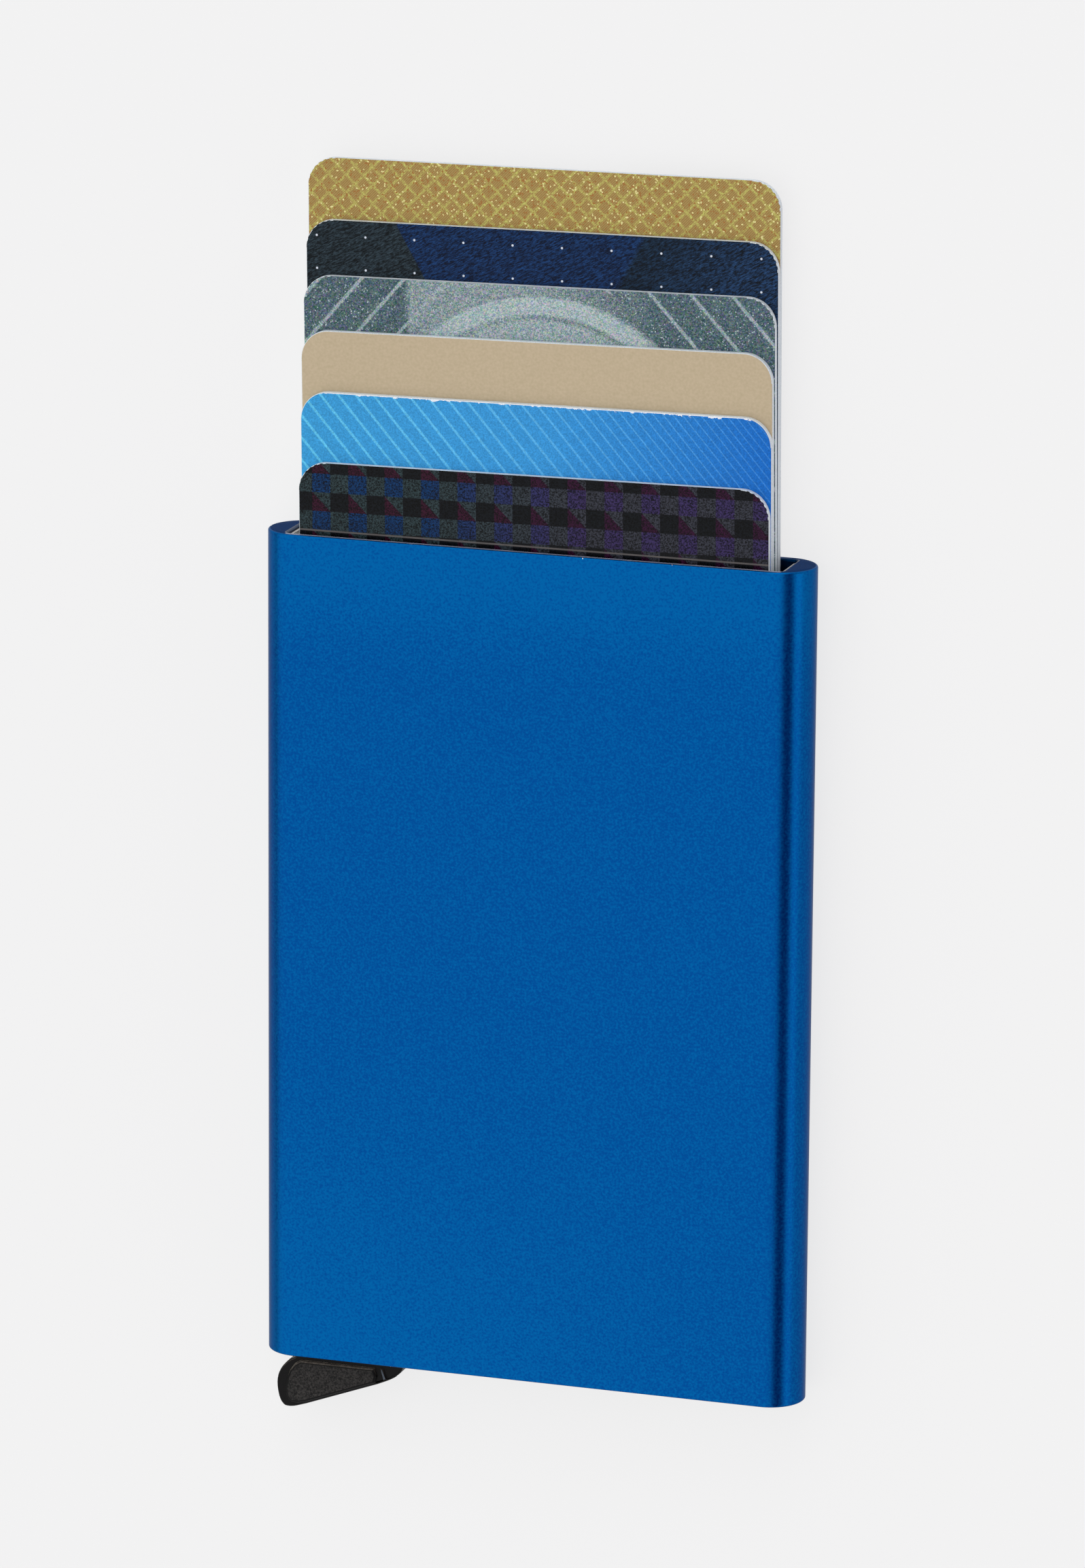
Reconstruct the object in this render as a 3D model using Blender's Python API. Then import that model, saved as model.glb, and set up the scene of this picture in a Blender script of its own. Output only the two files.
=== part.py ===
"""Pop up card holder: extruded aluminium case, base, ejecting lever, liners and six fanned cards.

The case lies on its flat back. X is its width, Y the way the cards come out, Z out of its front.
"""

import math

import bmesh
import bpy
from mathutils import Vector

# Sizes in metres, angles in degrees
MM = 0.001

# Case, whose width, depth and length follow from the cards and these
face_wall = 1.0 * MM
side_wall = 3.0 * MM
card_side_play = 3.02 * MM
card_home_depth = 1.2 * MM
base_room = 8.2 * MM
pocket_corner = 0.4 * MM
rim_chamfer = 0.22 * MM
mouth_chamfer = 0.28 * MM

# Cards, rear one first
card_length = 85.6 * MM
card_width = 53.98 * MM
card_thickness = 0.76 * MM
card_corner = 3.18 * MM
card_spacing = 0.78 * MM
card_out_shares = (0.48598, 0.40771, 0.33762, 0.26752, 0.18808, 0.09696)
card_shift_shares = (-0.172, 0.0, 0.086, 0.086, 0.129, 0.172)
card_lean_shares = (0.322, 0.451, 0.58, 0.58, 0.4186, 0.4186)

# Contact plates on the cards that have one
chip_on_card = (True, True, True, False, False, True)
chip_width = 11.8 * MM
chip_length = 13.0 * MM
chip_thickness = 0.2 * MM
chip_corner = 1.6 * MM
chip_recess = 0.24 * MM
chip_rim = 0.1 * MM
chip_from_end = 12.0 * MM
chip_from_middle = 3.9 * MM

# Liners and friction strips
liner_thickness = 0.3 * MM
liner_seat = 0.05 * MM
liner_from_rim = 0.35 * MM
front_liner_side_gap = 0.5 * MM
front_liner_length = 34.0 * MM
side_liner_back_gap = 0.4 * MM
side_liner_length = 60.0 * MM
strip_thickness = 0.75 * MM
strip_card_gap = 0.14 * MM
strip_width = 10.0 * MM
strip_length = 58.0 * MM
strip_middle_share = 0.25936
strip_from_rim = 9.0 * MM

# Base
fit_gap = 0.3 * MM
base_side_gap = 0.15 * MM
base_inset = 0.2 * MM
floor_thickness = 1.0 * MM
web_thickness = 0.65 * MM
web_run_gap = 0.2 * MM
web_card_gap = 0.45 * MM
rib_width = 1.3 * MM
rib_shares = (0.15, 0.454, 0.758)
core_depth = 0.4 * MM
core_share = 0.62
end_block_width = 1.6 * MM

# Lever
pivot_from_side = 3.9 * MM
pin_radius = 0.8 * MM
pin_bore_gap = 0.25 * MM
hub_gap = 0.12 * MM
lever_turn_deg = 45.0
arm_end_gap = 1.7 * MM
arm_end_height = 2.6 * MM
arm_slot_height = 1.5 * MM
nose_gap = 0.45 * MM
tab_reach = 16.35 * MM
tab_drop = 6.84 * MM
tab_outline_shares = [
    (0.211, -0.127), (0.174, -0.170), (0.147, -0.227), (0.120, -0.300), (0.105, -0.354), (0.090, -0.430),
    (0.084, -0.475), (0.079, -0.535), (0.077, -0.594), (0.078, -0.660), (0.081, -0.725), (0.086, -0.785),
    (0.091, -0.839), (0.100, -0.895), (0.109, -0.934), (0.122, -0.970), (0.136, -0.994), (0.154, -1.0),
    (0.172, -1.0), (0.195, -0.993), (0.221, -0.978), (0.291, -0.923), (0.816, -0.449), (0.878, -0.383),
    (0.910, -0.345), (0.941, -0.301), (0.976, -0.225), (0.990, -0.175), (0.996, -0.137), (1.0, -0.104),
]
tab_chamfer = 0.18 * MM
panel_height = 0.4 * MM
panel_shares = [
    (0.26, -0.165), (0.215, -0.23), (0.178, -0.35), (0.155, -0.50), (0.146, -0.66), (0.152, -0.79),
    (0.167, -0.865), (0.19, -0.905), (0.235, -0.91), (0.30, -0.870), (0.80, -0.420), (0.815, -0.30),
    (0.795, -0.165),
]
ridge_shares = [(0.838, -0.165), (0.858, -0.165), (0.885, -0.335), (0.862, -0.357)]
ridge_height = 0.25 * MM

# Spring
wire_radius = 0.16 * MM
spring_radius = 1.75 * MM
spring_turns = 3.2
spring_pitch = 0.76 * MM
spring_recess_gap = 0.5 * MM
spring_floor_gap = 0.25 * MM
points_per_turn = 10
wire_sides = 6

# Counts of facets
end_segments = 20
corner_segments = 7
round_segments = 28
small_segments = 3

# Lengths that follow
card_count = len(card_out_shares)
card_out = [share * card_length for share in card_out_shares]
stack_depth = (card_count - 1) * card_spacing + card_thickness
pocket_depth = 3 * liner_seat + liner_thickness + stack_depth + strip_card_gap + strip_thickness
case_depth = pocket_depth + 2 * face_wall
pocket_back = face_wall
pocket_front = case_depth - face_wall
pocket_half = (card_width + card_side_play) / 2
case_width = 2 * (pocket_half + side_wall)
case_length = card_length + card_home_depth + base_room
rim_y = case_length / 2
end_y = -case_length / 2
side_room = card_side_play / 2 - liner_seat - liner_thickness
card_shift = [share * side_room for share in card_shift_shares]
card_tilt = [math.asin(share * side_room / (card_length / 2)) for share in card_lean_shares]
lever_thickness = pocket_depth - 2 * (base_side_gap + web_thickness + web_run_gap)
liner_face = pocket_front - liner_seat - liner_thickness
stack_front = liner_face - liner_seat
card_front = [stack_front - (card_count - 1 - i) * card_spacing for i in range(card_count)]
stack_back = card_front[0] - card_thickness
widest_tilt = max(card_tilt)
tilt_drop = card_width / 2 * math.sin(widest_tilt)
home_bottom = rim_y - card_home_depth - card_length - tilt_drop
base_y = end_y + base_inset
floor_top = base_y + floor_thickness
arm_top = home_bottom - fit_gap
arm_bottom = floor_top + fit_gap
pivot_y = (arm_top + arm_bottom) / 2
pivot_x = -pocket_half + pivot_from_side
hub_radius = (arm_top - arm_bottom) / 2 - hub_gap
mid_z = case_depth / 2
lever_back = mid_z - lever_thickness / 2
lever_front = mid_z + lever_thickness / 2
tab_x0 = -case_width / 2
turn = math.radians(lever_turn_deg)
tab_sweep = max(
    math.hypot(tab_x0 + tab_reach * u - pivot_x, end_y + tab_drop * v - pivot_y)
    for u, v in tab_outline_shares if u > 0.9
)
web_right = pivot_x + tab_sweep - fit_gap
web_top = home_bottom - fit_gap - web_card_gap
arm_start = math.hypot(web_right - pivot_x, max(web_top - pivot_y, pivot_y - floor_top)) + 1.2 * fit_gap
web_back = pocket_back + base_side_gap
web_front = pocket_front - base_side_gap
base_half = pocket_half - fit_gap
arm_reach = base_half - end_block_width - arm_end_gap - pivot_x


def clear_start():
    """Removes what a new Blender file holds."""
    for item in list(bpy.data.objects):
        bpy.data.objects.remove(item, do_unlink=True)


def material(name, colour, rough, metal):
    """Makes a plain Principled material."""
    made = bpy.data.materials.new(name)
    made.use_nodes = True
    shader = made.node_tree.nodes["Principled BSDF"]
    shader.inputs["Base Color"].default_value = (*colour, 1.0)
    shader.inputs["Roughness"].default_value = rough
    shader.inputs["Metallic"].default_value = metal
    return made


def add_object(name, bm, look=None, smooth=False):
    """Turns a bmesh into a linked object."""
    bmesh.ops.remove_doubles(bm, verts=bm.verts, dist=1e-7)
    bmesh.ops.recalc_face_normals(bm, faces=bm.faces)
    mesh = bpy.data.meshes.new(name)
    bm.to_mesh(mesh)
    bm.free()
    item = bpy.data.objects.new(name, mesh)
    bpy.context.scene.collection.objects.link(item)
    if look is not None:
        mesh.materials.append(look)
    if smooth:
        for face in mesh.polygons:
            face.use_smooth = True
        mesh.set_sharp_from_angle(angle=math.radians(32))
    return item


def arc(cx, cy, radius, start, stop, steps):
    """Points on an arc, both ends included."""
    angles = [start + (stop - start) * k / steps for k in range(steps + 1)]
    return [(cx + radius * math.cos(a), cy + radius * math.sin(a)) for a in angles]


def stadium(half_width, radius, steps):
    """Outline with two flat sides and two round ends, about the origin."""
    flat = half_width - radius
    right = arc(flat, 0.0, radius, -math.pi / 2, math.pi / 2, steps)
    left = arc(-flat, 0.0, radius, math.pi / 2, 3 * math.pi / 2, steps)
    return right + left


def round_box(x0, y0, x1, y1, radius, steps):
    """Rectangle with round corners, counter-clockwise."""
    quarter = math.pi / 2
    points = arc(x1 - radius, y0 + radius, radius, -quarter, 0.0, steps)
    points += arc(x1 - radius, y1 - radius, radius, 0.0, quarter, steps)
    points += arc(x0 + radius, y1 - radius, radius, quarter, 2 * quarter, steps)
    points += arc(x0 + radius, y0 + radius, radius, 2 * quarter, 3 * quarter, steps)
    return points


def box_points(x0, y0, x1, y1):
    """Plain rectangle, counter-clockwise."""
    return [(x0, y0), (x1, y0), (x1, y1), (x0, y1)]


def rings_solid(bm, rings, close_start=True, close_end=True):
    """Joins closed rings of equal length into a skin, with flat ends if asked."""
    made = [[bm.verts.new(point) for point in ring] for ring in rings]
    for first, second in zip(made, made[1:]):
        count = len(first)
        for k in range(count):
            bm.faces.new((first[k], first[(k + 1) % count], second[(k + 1) % count], second[k]))
    if close_start:
        bm.faces.new(list(reversed(made[0])))
    if close_end:
        bm.faces.new(made[-1])
    return made


def prism_z(outline, z0, z1):
    """Solid with an outline in X and Y, standing along Z."""
    bm = bmesh.new()
    rings_solid(bm, [[(x, y, z) for x, y in outline] for z in (z0, z1)])
    return bm


def prism_y(outline, y0, y1):
    """Solid with an outline in X and Z, running along Y."""
    bm = bmesh.new()
    rings_solid(bm, [[(x, y, z) for x, z in outline] for y in (y0, y1)])
    return bm


def cut(target, tool_bm, kind="DIFFERENCE"):
    """Cuts a tool out of a target, or adds it, by an exact boolean modifier."""
    tool = add_object(f"{target.name}_tool", tool_bm)
    tool.hide_render = True
    tool.display_type = "WIRE"
    step = target.modifiers.new(f"cut_{len(target.modifiers)}", "BOOLEAN")
    step.object = tool
    step.operation = kind
    step.solver = "EXACT"
    return tool


def bake(target, tools):
    """Applies the boolean steps and removes their tools."""
    bpy.context.view_layer.update()
    graph = bpy.context.evaluated_depsgraph_get()
    mesh = bpy.data.meshes.new_from_object(target.evaluated_get(graph))
    old = target.data
    target.modifiers.clear()
    target.data = mesh
    bpy.data.meshes.remove(old)
    for tool in tools:
        data = tool.data
        bpy.data.objects.remove(tool, do_unlink=True)
        bpy.data.meshes.remove(data)


def smooth_by_angle(target, degrees):
    """Shades a finished solid smooth, with its corners kept sharp."""
    for face in target.data.polygons:
        face.use_smooth = True
    target.data.set_sharp_from_angle(angle=math.radians(degrees))


def move_origin(target, point):
    """Puts an object's origin at a point, leaving its shape where it is."""
    offset = Vector(point)
    for vertex in target.data.vertices:
        vertex.co -= offset
    target.location = offset


def make_case(look):
    """The extruded tube, its pocket running right through."""
    bm = bmesh.new()
    c, m = rim_chamfer, mouth_chamfer
    half, r = case_width / 2, case_depth / 2

    def outer(inset, y):
        return [(x, y, z + mid_z) for x, z in stadium(half - inset, r - inset, end_segments)]

    def inner(grow, y):
        loop = round_box(-pocket_half - grow, pocket_back - grow, pocket_half + grow, pocket_front + grow,
                         pocket_corner + grow, small_segments)
        return [(x, y, z) for x, z in loop]

    outside = [outer(c, end_y), outer(0, end_y + c), outer(0, rim_y - c), outer(c, rim_y)]
    inside = [inner(m, end_y), inner(0, end_y + m), inner(0, rim_y - m), inner(m, rim_y)]
    skin = rings_solid(bm, outside, False, False)
    bore = rings_solid(bm, inside, False, False)
    for k in (0, -1):
        edges = set()
        for ring in (skin[k], bore[k]):
            for first, second in zip(ring, ring[1:] + ring[:1]):
                edges.add(bm.edges.get((first, second)))
        bmesh.ops.triangle_fill(bm, use_beauty=True, edges=list(edges))
    return add_object("case_tube", bm, look, smooth=True)


def make_base(look):
    """The base: floor with ribs, two webs that hold the pin, and an end block."""
    outline = round_box(web_right, base_y, base_half, floor_top, base_inset, small_segments)
    base = add_object("base_plug", prism_z(outline, web_back, web_front), look)
    tools = []
    for low, high in ((web_back, web_back + web_thickness), (web_front - web_thickness, web_front)):
        plate = round_box(-base_half, base_y, web_right + fit_gap, web_top, 2 * base_inset, small_segments)
        tools.append(cut(base, prism_z(plate, low, high), "UNION"))
    post = box_points(-base_half, web_top - 1.6 * web_thickness, -pocket_half + 2.4 * fit_gap,
                      web_top - base_inset)
    post_back, post_front = web_back + web_thickness / 2, web_front - web_thickness / 2
    tools.append(cut(base, prism_z(post, post_back, post_front), "UNION"))
    block = box_points(base_half - end_block_width, base_y + base_inset, base_half - base_inset / 2, web_top)
    tools.append(cut(base, prism_z(block, web_back + base_inset / 2, web_front - base_inset / 2), "UNION"))
    ribs = [web_right + (base_half - web_right) * share for share in rib_shares]
    for x in ribs:
        under = arm_under(x) - fit_gap
        rib = box_points(x - rib_width / 2, base_y + base_inset, x + rib_width / 2, under)
        tools.append(cut(base, prism_z(rib, web_back + base_inset, web_front - base_inset), "UNION"))
    stops = [web_right + rib_width] + ribs + [base_half]
    for first, second in zip(stops, stops[1:]):
        half = (second - first) * core_share / 2
        middle = (first + second) / 2
        round_by = min(4 * base_inset, 0.9 * half, pocket_depth / 5)
        pocket = round_box(middle - half, mid_z - pocket_depth / 4, middle + half, mid_z + pocket_depth / 4,
                           round_by, small_segments)
        tools.append(cut(base, prism_y(pocket, base_y - core_depth, base_y + core_depth)))
    bore = arc(pivot_x, pivot_y, pin_radius + pin_bore_gap, 0.0, 2 * math.pi, round_segments)[:-1]
    tools.append(cut(base, prism_z(bore, pocket_back, pocket_front)))
    leg_radius = wire_radius + pin_bore_gap
    leg = arc(pivot_x - spring_radius, pivot_y, leg_radius, 0.0, 2 * math.pi, round_segments // 2)
    tools.append(cut(base, prism_z(leg[:-1], pocket_back, web_back + 2 * web_thickness)))
    bake(base, tools)
    smooth_by_angle(base, 32)
    return base


def arm_under(x):
    """Height of the lever arm's underside at rest, falling away from the pivot."""
    share = min(1.0, max(0.0, (x - pivot_x - arm_start) / (arm_reach - arm_start)))
    return arm_bottom + (arm_top - arm_end_height - arm_bottom) * share


def nose_reaches():
    """How far from the pivot each card's nose ends, so that it clears the fanned card at full turn."""
    reaches = []
    for i in range(card_count):
        tilt = card_tilt[i]
        bottom = rim_y + card_out[i] - card_length
        lowest = bottom - math.sin(tilt) * card_width / 4 - nose_gap
        rise = lowest - pivot_y - (arm_top - pivot_y) * math.cos(turn)
        reaches.append(rise / math.sin(turn))
    limited = []
    for i, reach in enumerate(reaches):
        most = arm_reach - i * 3.5 * card_thickness
        limited.append(max(arm_start + fit_gap * (card_count - i), min(reach, most)))
    return limited


def inset_run(points, by):
    """Moves an open run of points to its left by a distance, square to the run."""
    moved = []
    for k, (x, y) in enumerate(points):
        before, after = points[max(k - 1, 0)], points[min(k + 1, len(points) - 1)]
        dx, dy = after[0] - before[0], after[1] - before[1]
        length = math.hypot(dx, dy)
        moved.append((x - by * dy / length, y + by * dx / length))
    return moved


def make_lever(look):
    """The one-piece lever: hub, finger tab with its panel, and an arm stepped once for each card."""
    tab = [(tab_x0 + tab_reach * u, end_y + tab_drop * v) for u, v in tab_outline_shares]
    start = math.atan2(arm_bottom - pivot_y, arm_start)
    hub = arc(pivot_x, pivot_y, hub_radius, math.pi / 2, 1.17 * math.pi, 14)
    before = hub + [(max(-pocket_half + fit_gap, hub[-1][0] - fit_gap), end_y)]
    after = [(tab_x0 + tab_reach, floor_top), (pivot_x + arm_start - 2 * fit_gap, arm_bottom),
             (pivot_x + arm_start + fit_gap, arm_bottom), (pivot_x + arm_start + fit_gap, arm_top - hub_gap)]
    body_front = lever_front - panel_height
    rings = []
    for run, z in ((inset_run(tab, tab_chamfer), lever_back), (tab, lever_back + tab_chamfer),
                   (tab, body_front - tab_chamfer), (inset_run(tab, tab_chamfer), body_front)):
        rings.append([(x, y, z) for x, y in before + run + after])
    bm = bmesh.new()
    rings_solid(bm, rings)
    lever = add_object("eject_lever", bm, look)
    tools = []
    panel = [(tab_x0 + tab_reach * u, end_y + tab_drop * v) for u, v in panel_shares]
    tools.append(cut(lever, prism_z(panel, mid_z, lever_front), "UNION"))
    ridge = [(tab_x0 + tab_reach * u, end_y + tab_drop * v) for u, v in ridge_shares]
    tools.append(cut(lever, prism_z(ridge, mid_z, body_front + ridge_height), "UNION"))
    # The stair is drawn from above, then its underside is cut away toward the end
    reaches = nose_reaches()
    root = pivot_x + arm_start
    stair = [(root, stack_back)]
    for i, reach in enumerate(reaches):
        top = card_front[i] if i == card_count - 1 else card_front[i] + (card_spacing - card_thickness) / 2
        low = stack_back if i == 0 else stair[-1][1]
        stair.append((pivot_x + reach, low))
        stair.append((pivot_x + reach, top))
    stair.append((root, card_front[-1]))
    tools.append(cut(lever, prism_y(stair, arm_bottom + hub_gap / 2, arm_top), "UNION"))
    end = pivot_x + reaches[0] + fit_gap
    wedge = [(root + fit_gap, arm_bottom - fit_gap), (end, arm_bottom - fit_gap), (end, arm_under(end)),
             (root + fit_gap, arm_bottom)]
    tools.append(cut(lever, prism_z(wedge, pocket_back, pocket_front)))
    # Lightening slots between the steps
    for i in range(card_count - 3, 0, -1):
        x1 = pivot_x + reaches[i] - 1.5 * rib_width
        x0 = pivot_x + reaches[i + 1] + rib_width
        if x1 - x0 > 2 * rib_width:
            middle = (arm_top + arm_under(x1)) / 2
            slot = round_box(x0, middle - arm_slot_height / 2, x1, middle + arm_slot_height / 2,
                             arm_slot_height / 2.2, small_segments)
            tools.append(cut(lever, prism_z(slot, pocket_back, pocket_front)))
    bore = arc(pivot_x, pivot_y, pin_radius + pin_bore_gap, 0.0, 2 * math.pi, round_segments)[:-1]
    tools.append(cut(lever, prism_z(bore, pocket_back, pocket_front)))
    recess_top = lever_back + spring_turns * spring_pitch + 2 * wire_radius + 2 * spring_floor_gap
    recess_top = min(recess_top, lever_front - 2 * fit_gap)
    recess_radius = spring_radius + wire_radius + spring_recess_gap
    ring = arc(pivot_x, pivot_y, recess_radius, 0.0, 2 * math.pi, round_segments)[:-1]
    tools.append(cut(lever, prism_z(ring, lever_back - fit_gap, recess_top)))
    bake(lever, tools)
    smooth_by_angle(lever, 28)
    move_origin(lever, (pivot_x, pivot_y, 0.0))
    return lever


def make_pin(look):
    """The pivot pin, with a small chamfer at each end."""
    bm = bmesh.new()
    low, high = pocket_back + liner_seat, pocket_front - liner_seat
    edge = pin_radius / 5

    def ring(radius, z):
        return [(x, y, z) for x, y in arc(pivot_x, pivot_y, radius, 0.0, 2 * math.pi, round_segments)[:-1]]

    rings_solid(bm, [ring(pin_radius - edge, low), ring(pin_radius, low + edge),
                     ring(pin_radius, high - edge), ring(pin_radius - edge, high)])
    return add_object("pivot_pin", bm, look, smooth=True)


def spring_path():
    """Points along the wire: a leg in the base's rear web, the curls, and a short end in the hub."""
    start_z = lever_back + spring_floor_gap + wire_radius
    foot_z = web_back + base_inset
    path = []
    rise = start_z - foot_z
    for k in range(5):
        path.append((pivot_x - spring_radius, pivot_y, foot_z + rise * k / 5))
    steps = int(round(spring_turns * points_per_turn))
    for k in range(steps + 1):
        angle = math.pi + 2 * math.pi * k / points_per_turn
        height = start_z + spring_pitch * k / points_per_turn
        path.append((pivot_x + spring_radius * math.cos(angle), pivot_y + spring_radius * math.sin(angle),
                     height))
    return path


def least_gap(path):
    """Least space between the wire and itself, measured between points more than half a turn apart."""
    best = math.inf
    for a, first in enumerate(path):
        for second in path[a + points_per_turn // 2:]:
            best = min(best, math.dist(first, second) - 2 * wire_radius)
    return best


def make_spring(look):
    """The torsion spring as one unbroken wire."""
    path = [Vector(point) for point in spring_path()]
    bm = bmesh.new()
    rings = []
    side = Vector((1.0, 0.0, 0.0))
    for k, point in enumerate(path):
        ahead = path[min(k + 1, len(path) - 1)] - path[max(k - 1, 0)]
        ahead.normalize()
        side = (side - ahead * side.dot(ahead)).normalized()
        other = ahead.cross(side)
        ring = []
        for s in range(wire_sides):
            angle = 2 * math.pi * s / wire_sides
            ring.append(point + (side * math.cos(angle) + other * math.sin(angle)) * wire_radius)
        rings.append(ring)
    rings_solid(bm, rings)
    print("spring: least gap to itself", round(least_gap(spring_path()) / MM, 3), "mm")
    return add_object("return_spring", bm, look, smooth=True)


def place_card(item, index, point):
    """Turns a card, or its plate, by the card's own tilt about the card's centre."""
    tilt = card_tilt[index]
    centre_x = card_shift[index]
    centre_y = rim_y + card_out[index] - card_length / 2
    for vertex in item.data.vertices:
        x, y = vertex.co.x, vertex.co.y
        vertex.co.x = centre_x + x * math.cos(tilt) - y * math.sin(tilt)
        vertex.co.y = centre_y + x * math.sin(tilt) + y * math.cos(tilt)


def chip_box(grow):
    """Outline of a contact plate in the card's own frame."""
    right = -chip_from_middle + chip_width / 2 + grow
    left = -chip_from_middle - chip_width / 2 - grow
    low = -card_length / 2 + chip_from_end - grow
    high = low + chip_length + 2 * grow
    return round_box(left, low, right, high, chip_corner + grow, small_segments)


def make_card(index, look, chip_look):
    """One flat card, and the contact plate set into it where it has one."""
    front = card_front[index]
    half_w, half_l = card_width / 2, card_length / 2
    outline = round_box(-half_w, -half_l, half_w, half_l, card_corner, corner_segments)
    card = add_object(f"card_{index + 1}", prism_z(outline, front - card_thickness, front), look)
    if chip_on_card[index]:
        tool = cut(card, prism_z(chip_box(chip_rim), front - chip_recess, front + card_thickness))
        bake(card, [tool])
        low = front - chip_recess + (chip_recess - chip_thickness) / 2
        plate = prism_z(chip_box(0.0), low, low + chip_thickness)
        chip = add_object(f"card_{index + 1}_chip", plate, chip_look)
        place_card(chip, index, front)
    place_card(card, index, front)
    return card


def make_liners(look, strip_look):
    """The thin grey lining at the pocket's mouth and the two strips that hold the cards by friction."""
    top = rim_y - liner_from_rim
    half = pocket_half - front_liner_side_gap
    front = round_box(-half, top - front_liner_length, half, top, pocket_corner, small_segments)
    z1 = pocket_front - liner_seat
    add_object("front_liner", prism_z(front, z1 - liner_thickness, z1), look)
    for name, side in (("left", -1), ("right", 1)):
        outer = side * (pocket_half - liner_seat)
        inner = outer - side * liner_thickness
        outline = box_points(min(outer, inner), pocket_back + side_liner_back_gap, max(outer, inner),
                             liner_face - liner_seat)
        add_object(f"side_liner_{name}", prism_y(outline, top - side_liner_length, top), look)
    for name, side in (("left", -1), ("right", 1)):
        x = side * card_width * strip_middle_share
        high = rim_y - strip_from_rim
        strip = round_box(x - strip_width / 2, high - strip_length, x + strip_width / 2, high,
                          strip_width / 6, small_segments)
        low = pocket_back + liner_seat
        add_object(f"friction_strip_{name}", prism_z(strip, low, low + strip_thickness), strip_look)


def main():
    """Builds every piece."""
    clear_start()
    blue = material("blue_anodised_aluminium", (0.004, 0.105, 0.36), 0.38, 1.0)
    black = material("black_plastic", (0.026, 0.022, 0.02), 0.62, 0.0)
    base_black = material("base_black_plastic", (0.02, 0.02, 0.022), 0.6, 0.0)
    steel = material("pin_steel", (0.55, 0.56, 0.58), 0.3, 1.0)
    wire = material("spring_steel", (0.45, 0.46, 0.48), 0.32, 1.0)
    grey = material("liner_grey", (0.5, 0.48, 0.45), 0.9, 0.0)
    felt = material("strip_felt", (0.035, 0.037, 0.042), 0.95, 0.0)
    contact = material("contact_gold", (0.75, 0.55, 0.22), 0.3, 1.0)
    colours = [(0.36, 0.25, 0.06), (0.01, 0.022, 0.09), (0.16, 0.25, 0.24), (0.56, 0.46, 0.31),
               (0.04, 0.25, 0.7), (0.05, 0.05, 0.06)]
    make_case(blue)
    make_base(base_black)
    make_lever(black)
    make_pin(steel)
    make_spring(wire)
    make_liners(grey, felt)
    for index, colour in enumerate(colours):
        make_card(index, material(f"card_{index + 1}_face", colour, 0.42, 0.0), contact)


main()
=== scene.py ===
"""Pop up card holder: blue anodised case, black lever and six fanned cards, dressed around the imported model.

The case lies on its flat back. X is its width, Y the way the cards come out, Z out of its front.
"""

import math

import bmesh
import bpy
from mathutils import Matrix, Vector


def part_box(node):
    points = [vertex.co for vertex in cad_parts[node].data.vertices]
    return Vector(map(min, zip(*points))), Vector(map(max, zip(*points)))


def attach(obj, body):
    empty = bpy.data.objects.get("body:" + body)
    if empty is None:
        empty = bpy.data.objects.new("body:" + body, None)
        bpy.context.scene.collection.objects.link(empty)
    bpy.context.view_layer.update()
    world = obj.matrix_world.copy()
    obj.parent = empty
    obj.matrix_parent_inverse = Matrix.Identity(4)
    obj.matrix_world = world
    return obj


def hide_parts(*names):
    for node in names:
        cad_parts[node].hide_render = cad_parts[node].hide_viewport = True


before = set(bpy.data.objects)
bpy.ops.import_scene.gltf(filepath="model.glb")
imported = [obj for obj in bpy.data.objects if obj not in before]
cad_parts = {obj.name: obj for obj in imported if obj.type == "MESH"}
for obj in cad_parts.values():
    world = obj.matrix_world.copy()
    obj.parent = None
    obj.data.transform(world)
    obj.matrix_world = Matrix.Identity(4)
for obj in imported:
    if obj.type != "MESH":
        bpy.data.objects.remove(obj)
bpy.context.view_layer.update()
MM = 0.001

# Camera
# A long lens nearly a metre away looks down on the front from the right and from above the rim,
# as the photograph was taken.
eye = Vector((0.2769, 0.24793, 0.8566))
eye_right = Vector((0.95065, 0.00704, -0.31017))
eye_up = Vector((-0.08273, 0.96929, -0.23159))
lens_length = 192.34
sensor_side = 36.0
near_limit = 100 * MM

camera = bpy.data.objects.new("camera", bpy.data.cameras.new("camera"))
camera.data.lens = lens_length
camera.data.sensor_width = sensor_side
camera.data.clip_start = near_limit
eye_axes = Matrix((eye_right, eye_up, eye_right.cross(eye_up))).transposed()
camera.matrix_world = Matrix.Translation(eye) @ eye_axes.to_4x4()
bpy.context.scene.collection.objects.link(camera)
bpy.context.scene.camera = camera
bpy.context.scene.view_settings.view_transform = "Standard"

# Case
# An extruded aluminium tube with flat faces and solid round sides, sawn square, its edges broken and
# tumbled, then bead blasted and dyed blue in the anodising bath.
case_low, case_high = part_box("case_tube")
case_radius = (case_high.z - case_low.z) / 2
face_wall = 1.0 * MM
side_wall = 3.0 * MM
pocket_corner = 0.4 * MM
rim_round = 0.24 * MM
mouth_round = 0.3 * MM
side_steps = 48
edge_steps = 5
pocket_steps = 6
sawn_look, drawn_look, mouth_reflection_look = 1, 2, 3


def linear(code):
    """Turns an sRGB hex value into linear red, green, blue and alpha."""
    shares = [int(code[i:i + 2], 16) / 255 for i in (1, 3, 5)]
    return (*[s / 12.92 if s <= 0.04045 else ((s + 0.055) / 1.055) ** 2.4 for s in shares], 1.0)


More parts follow.
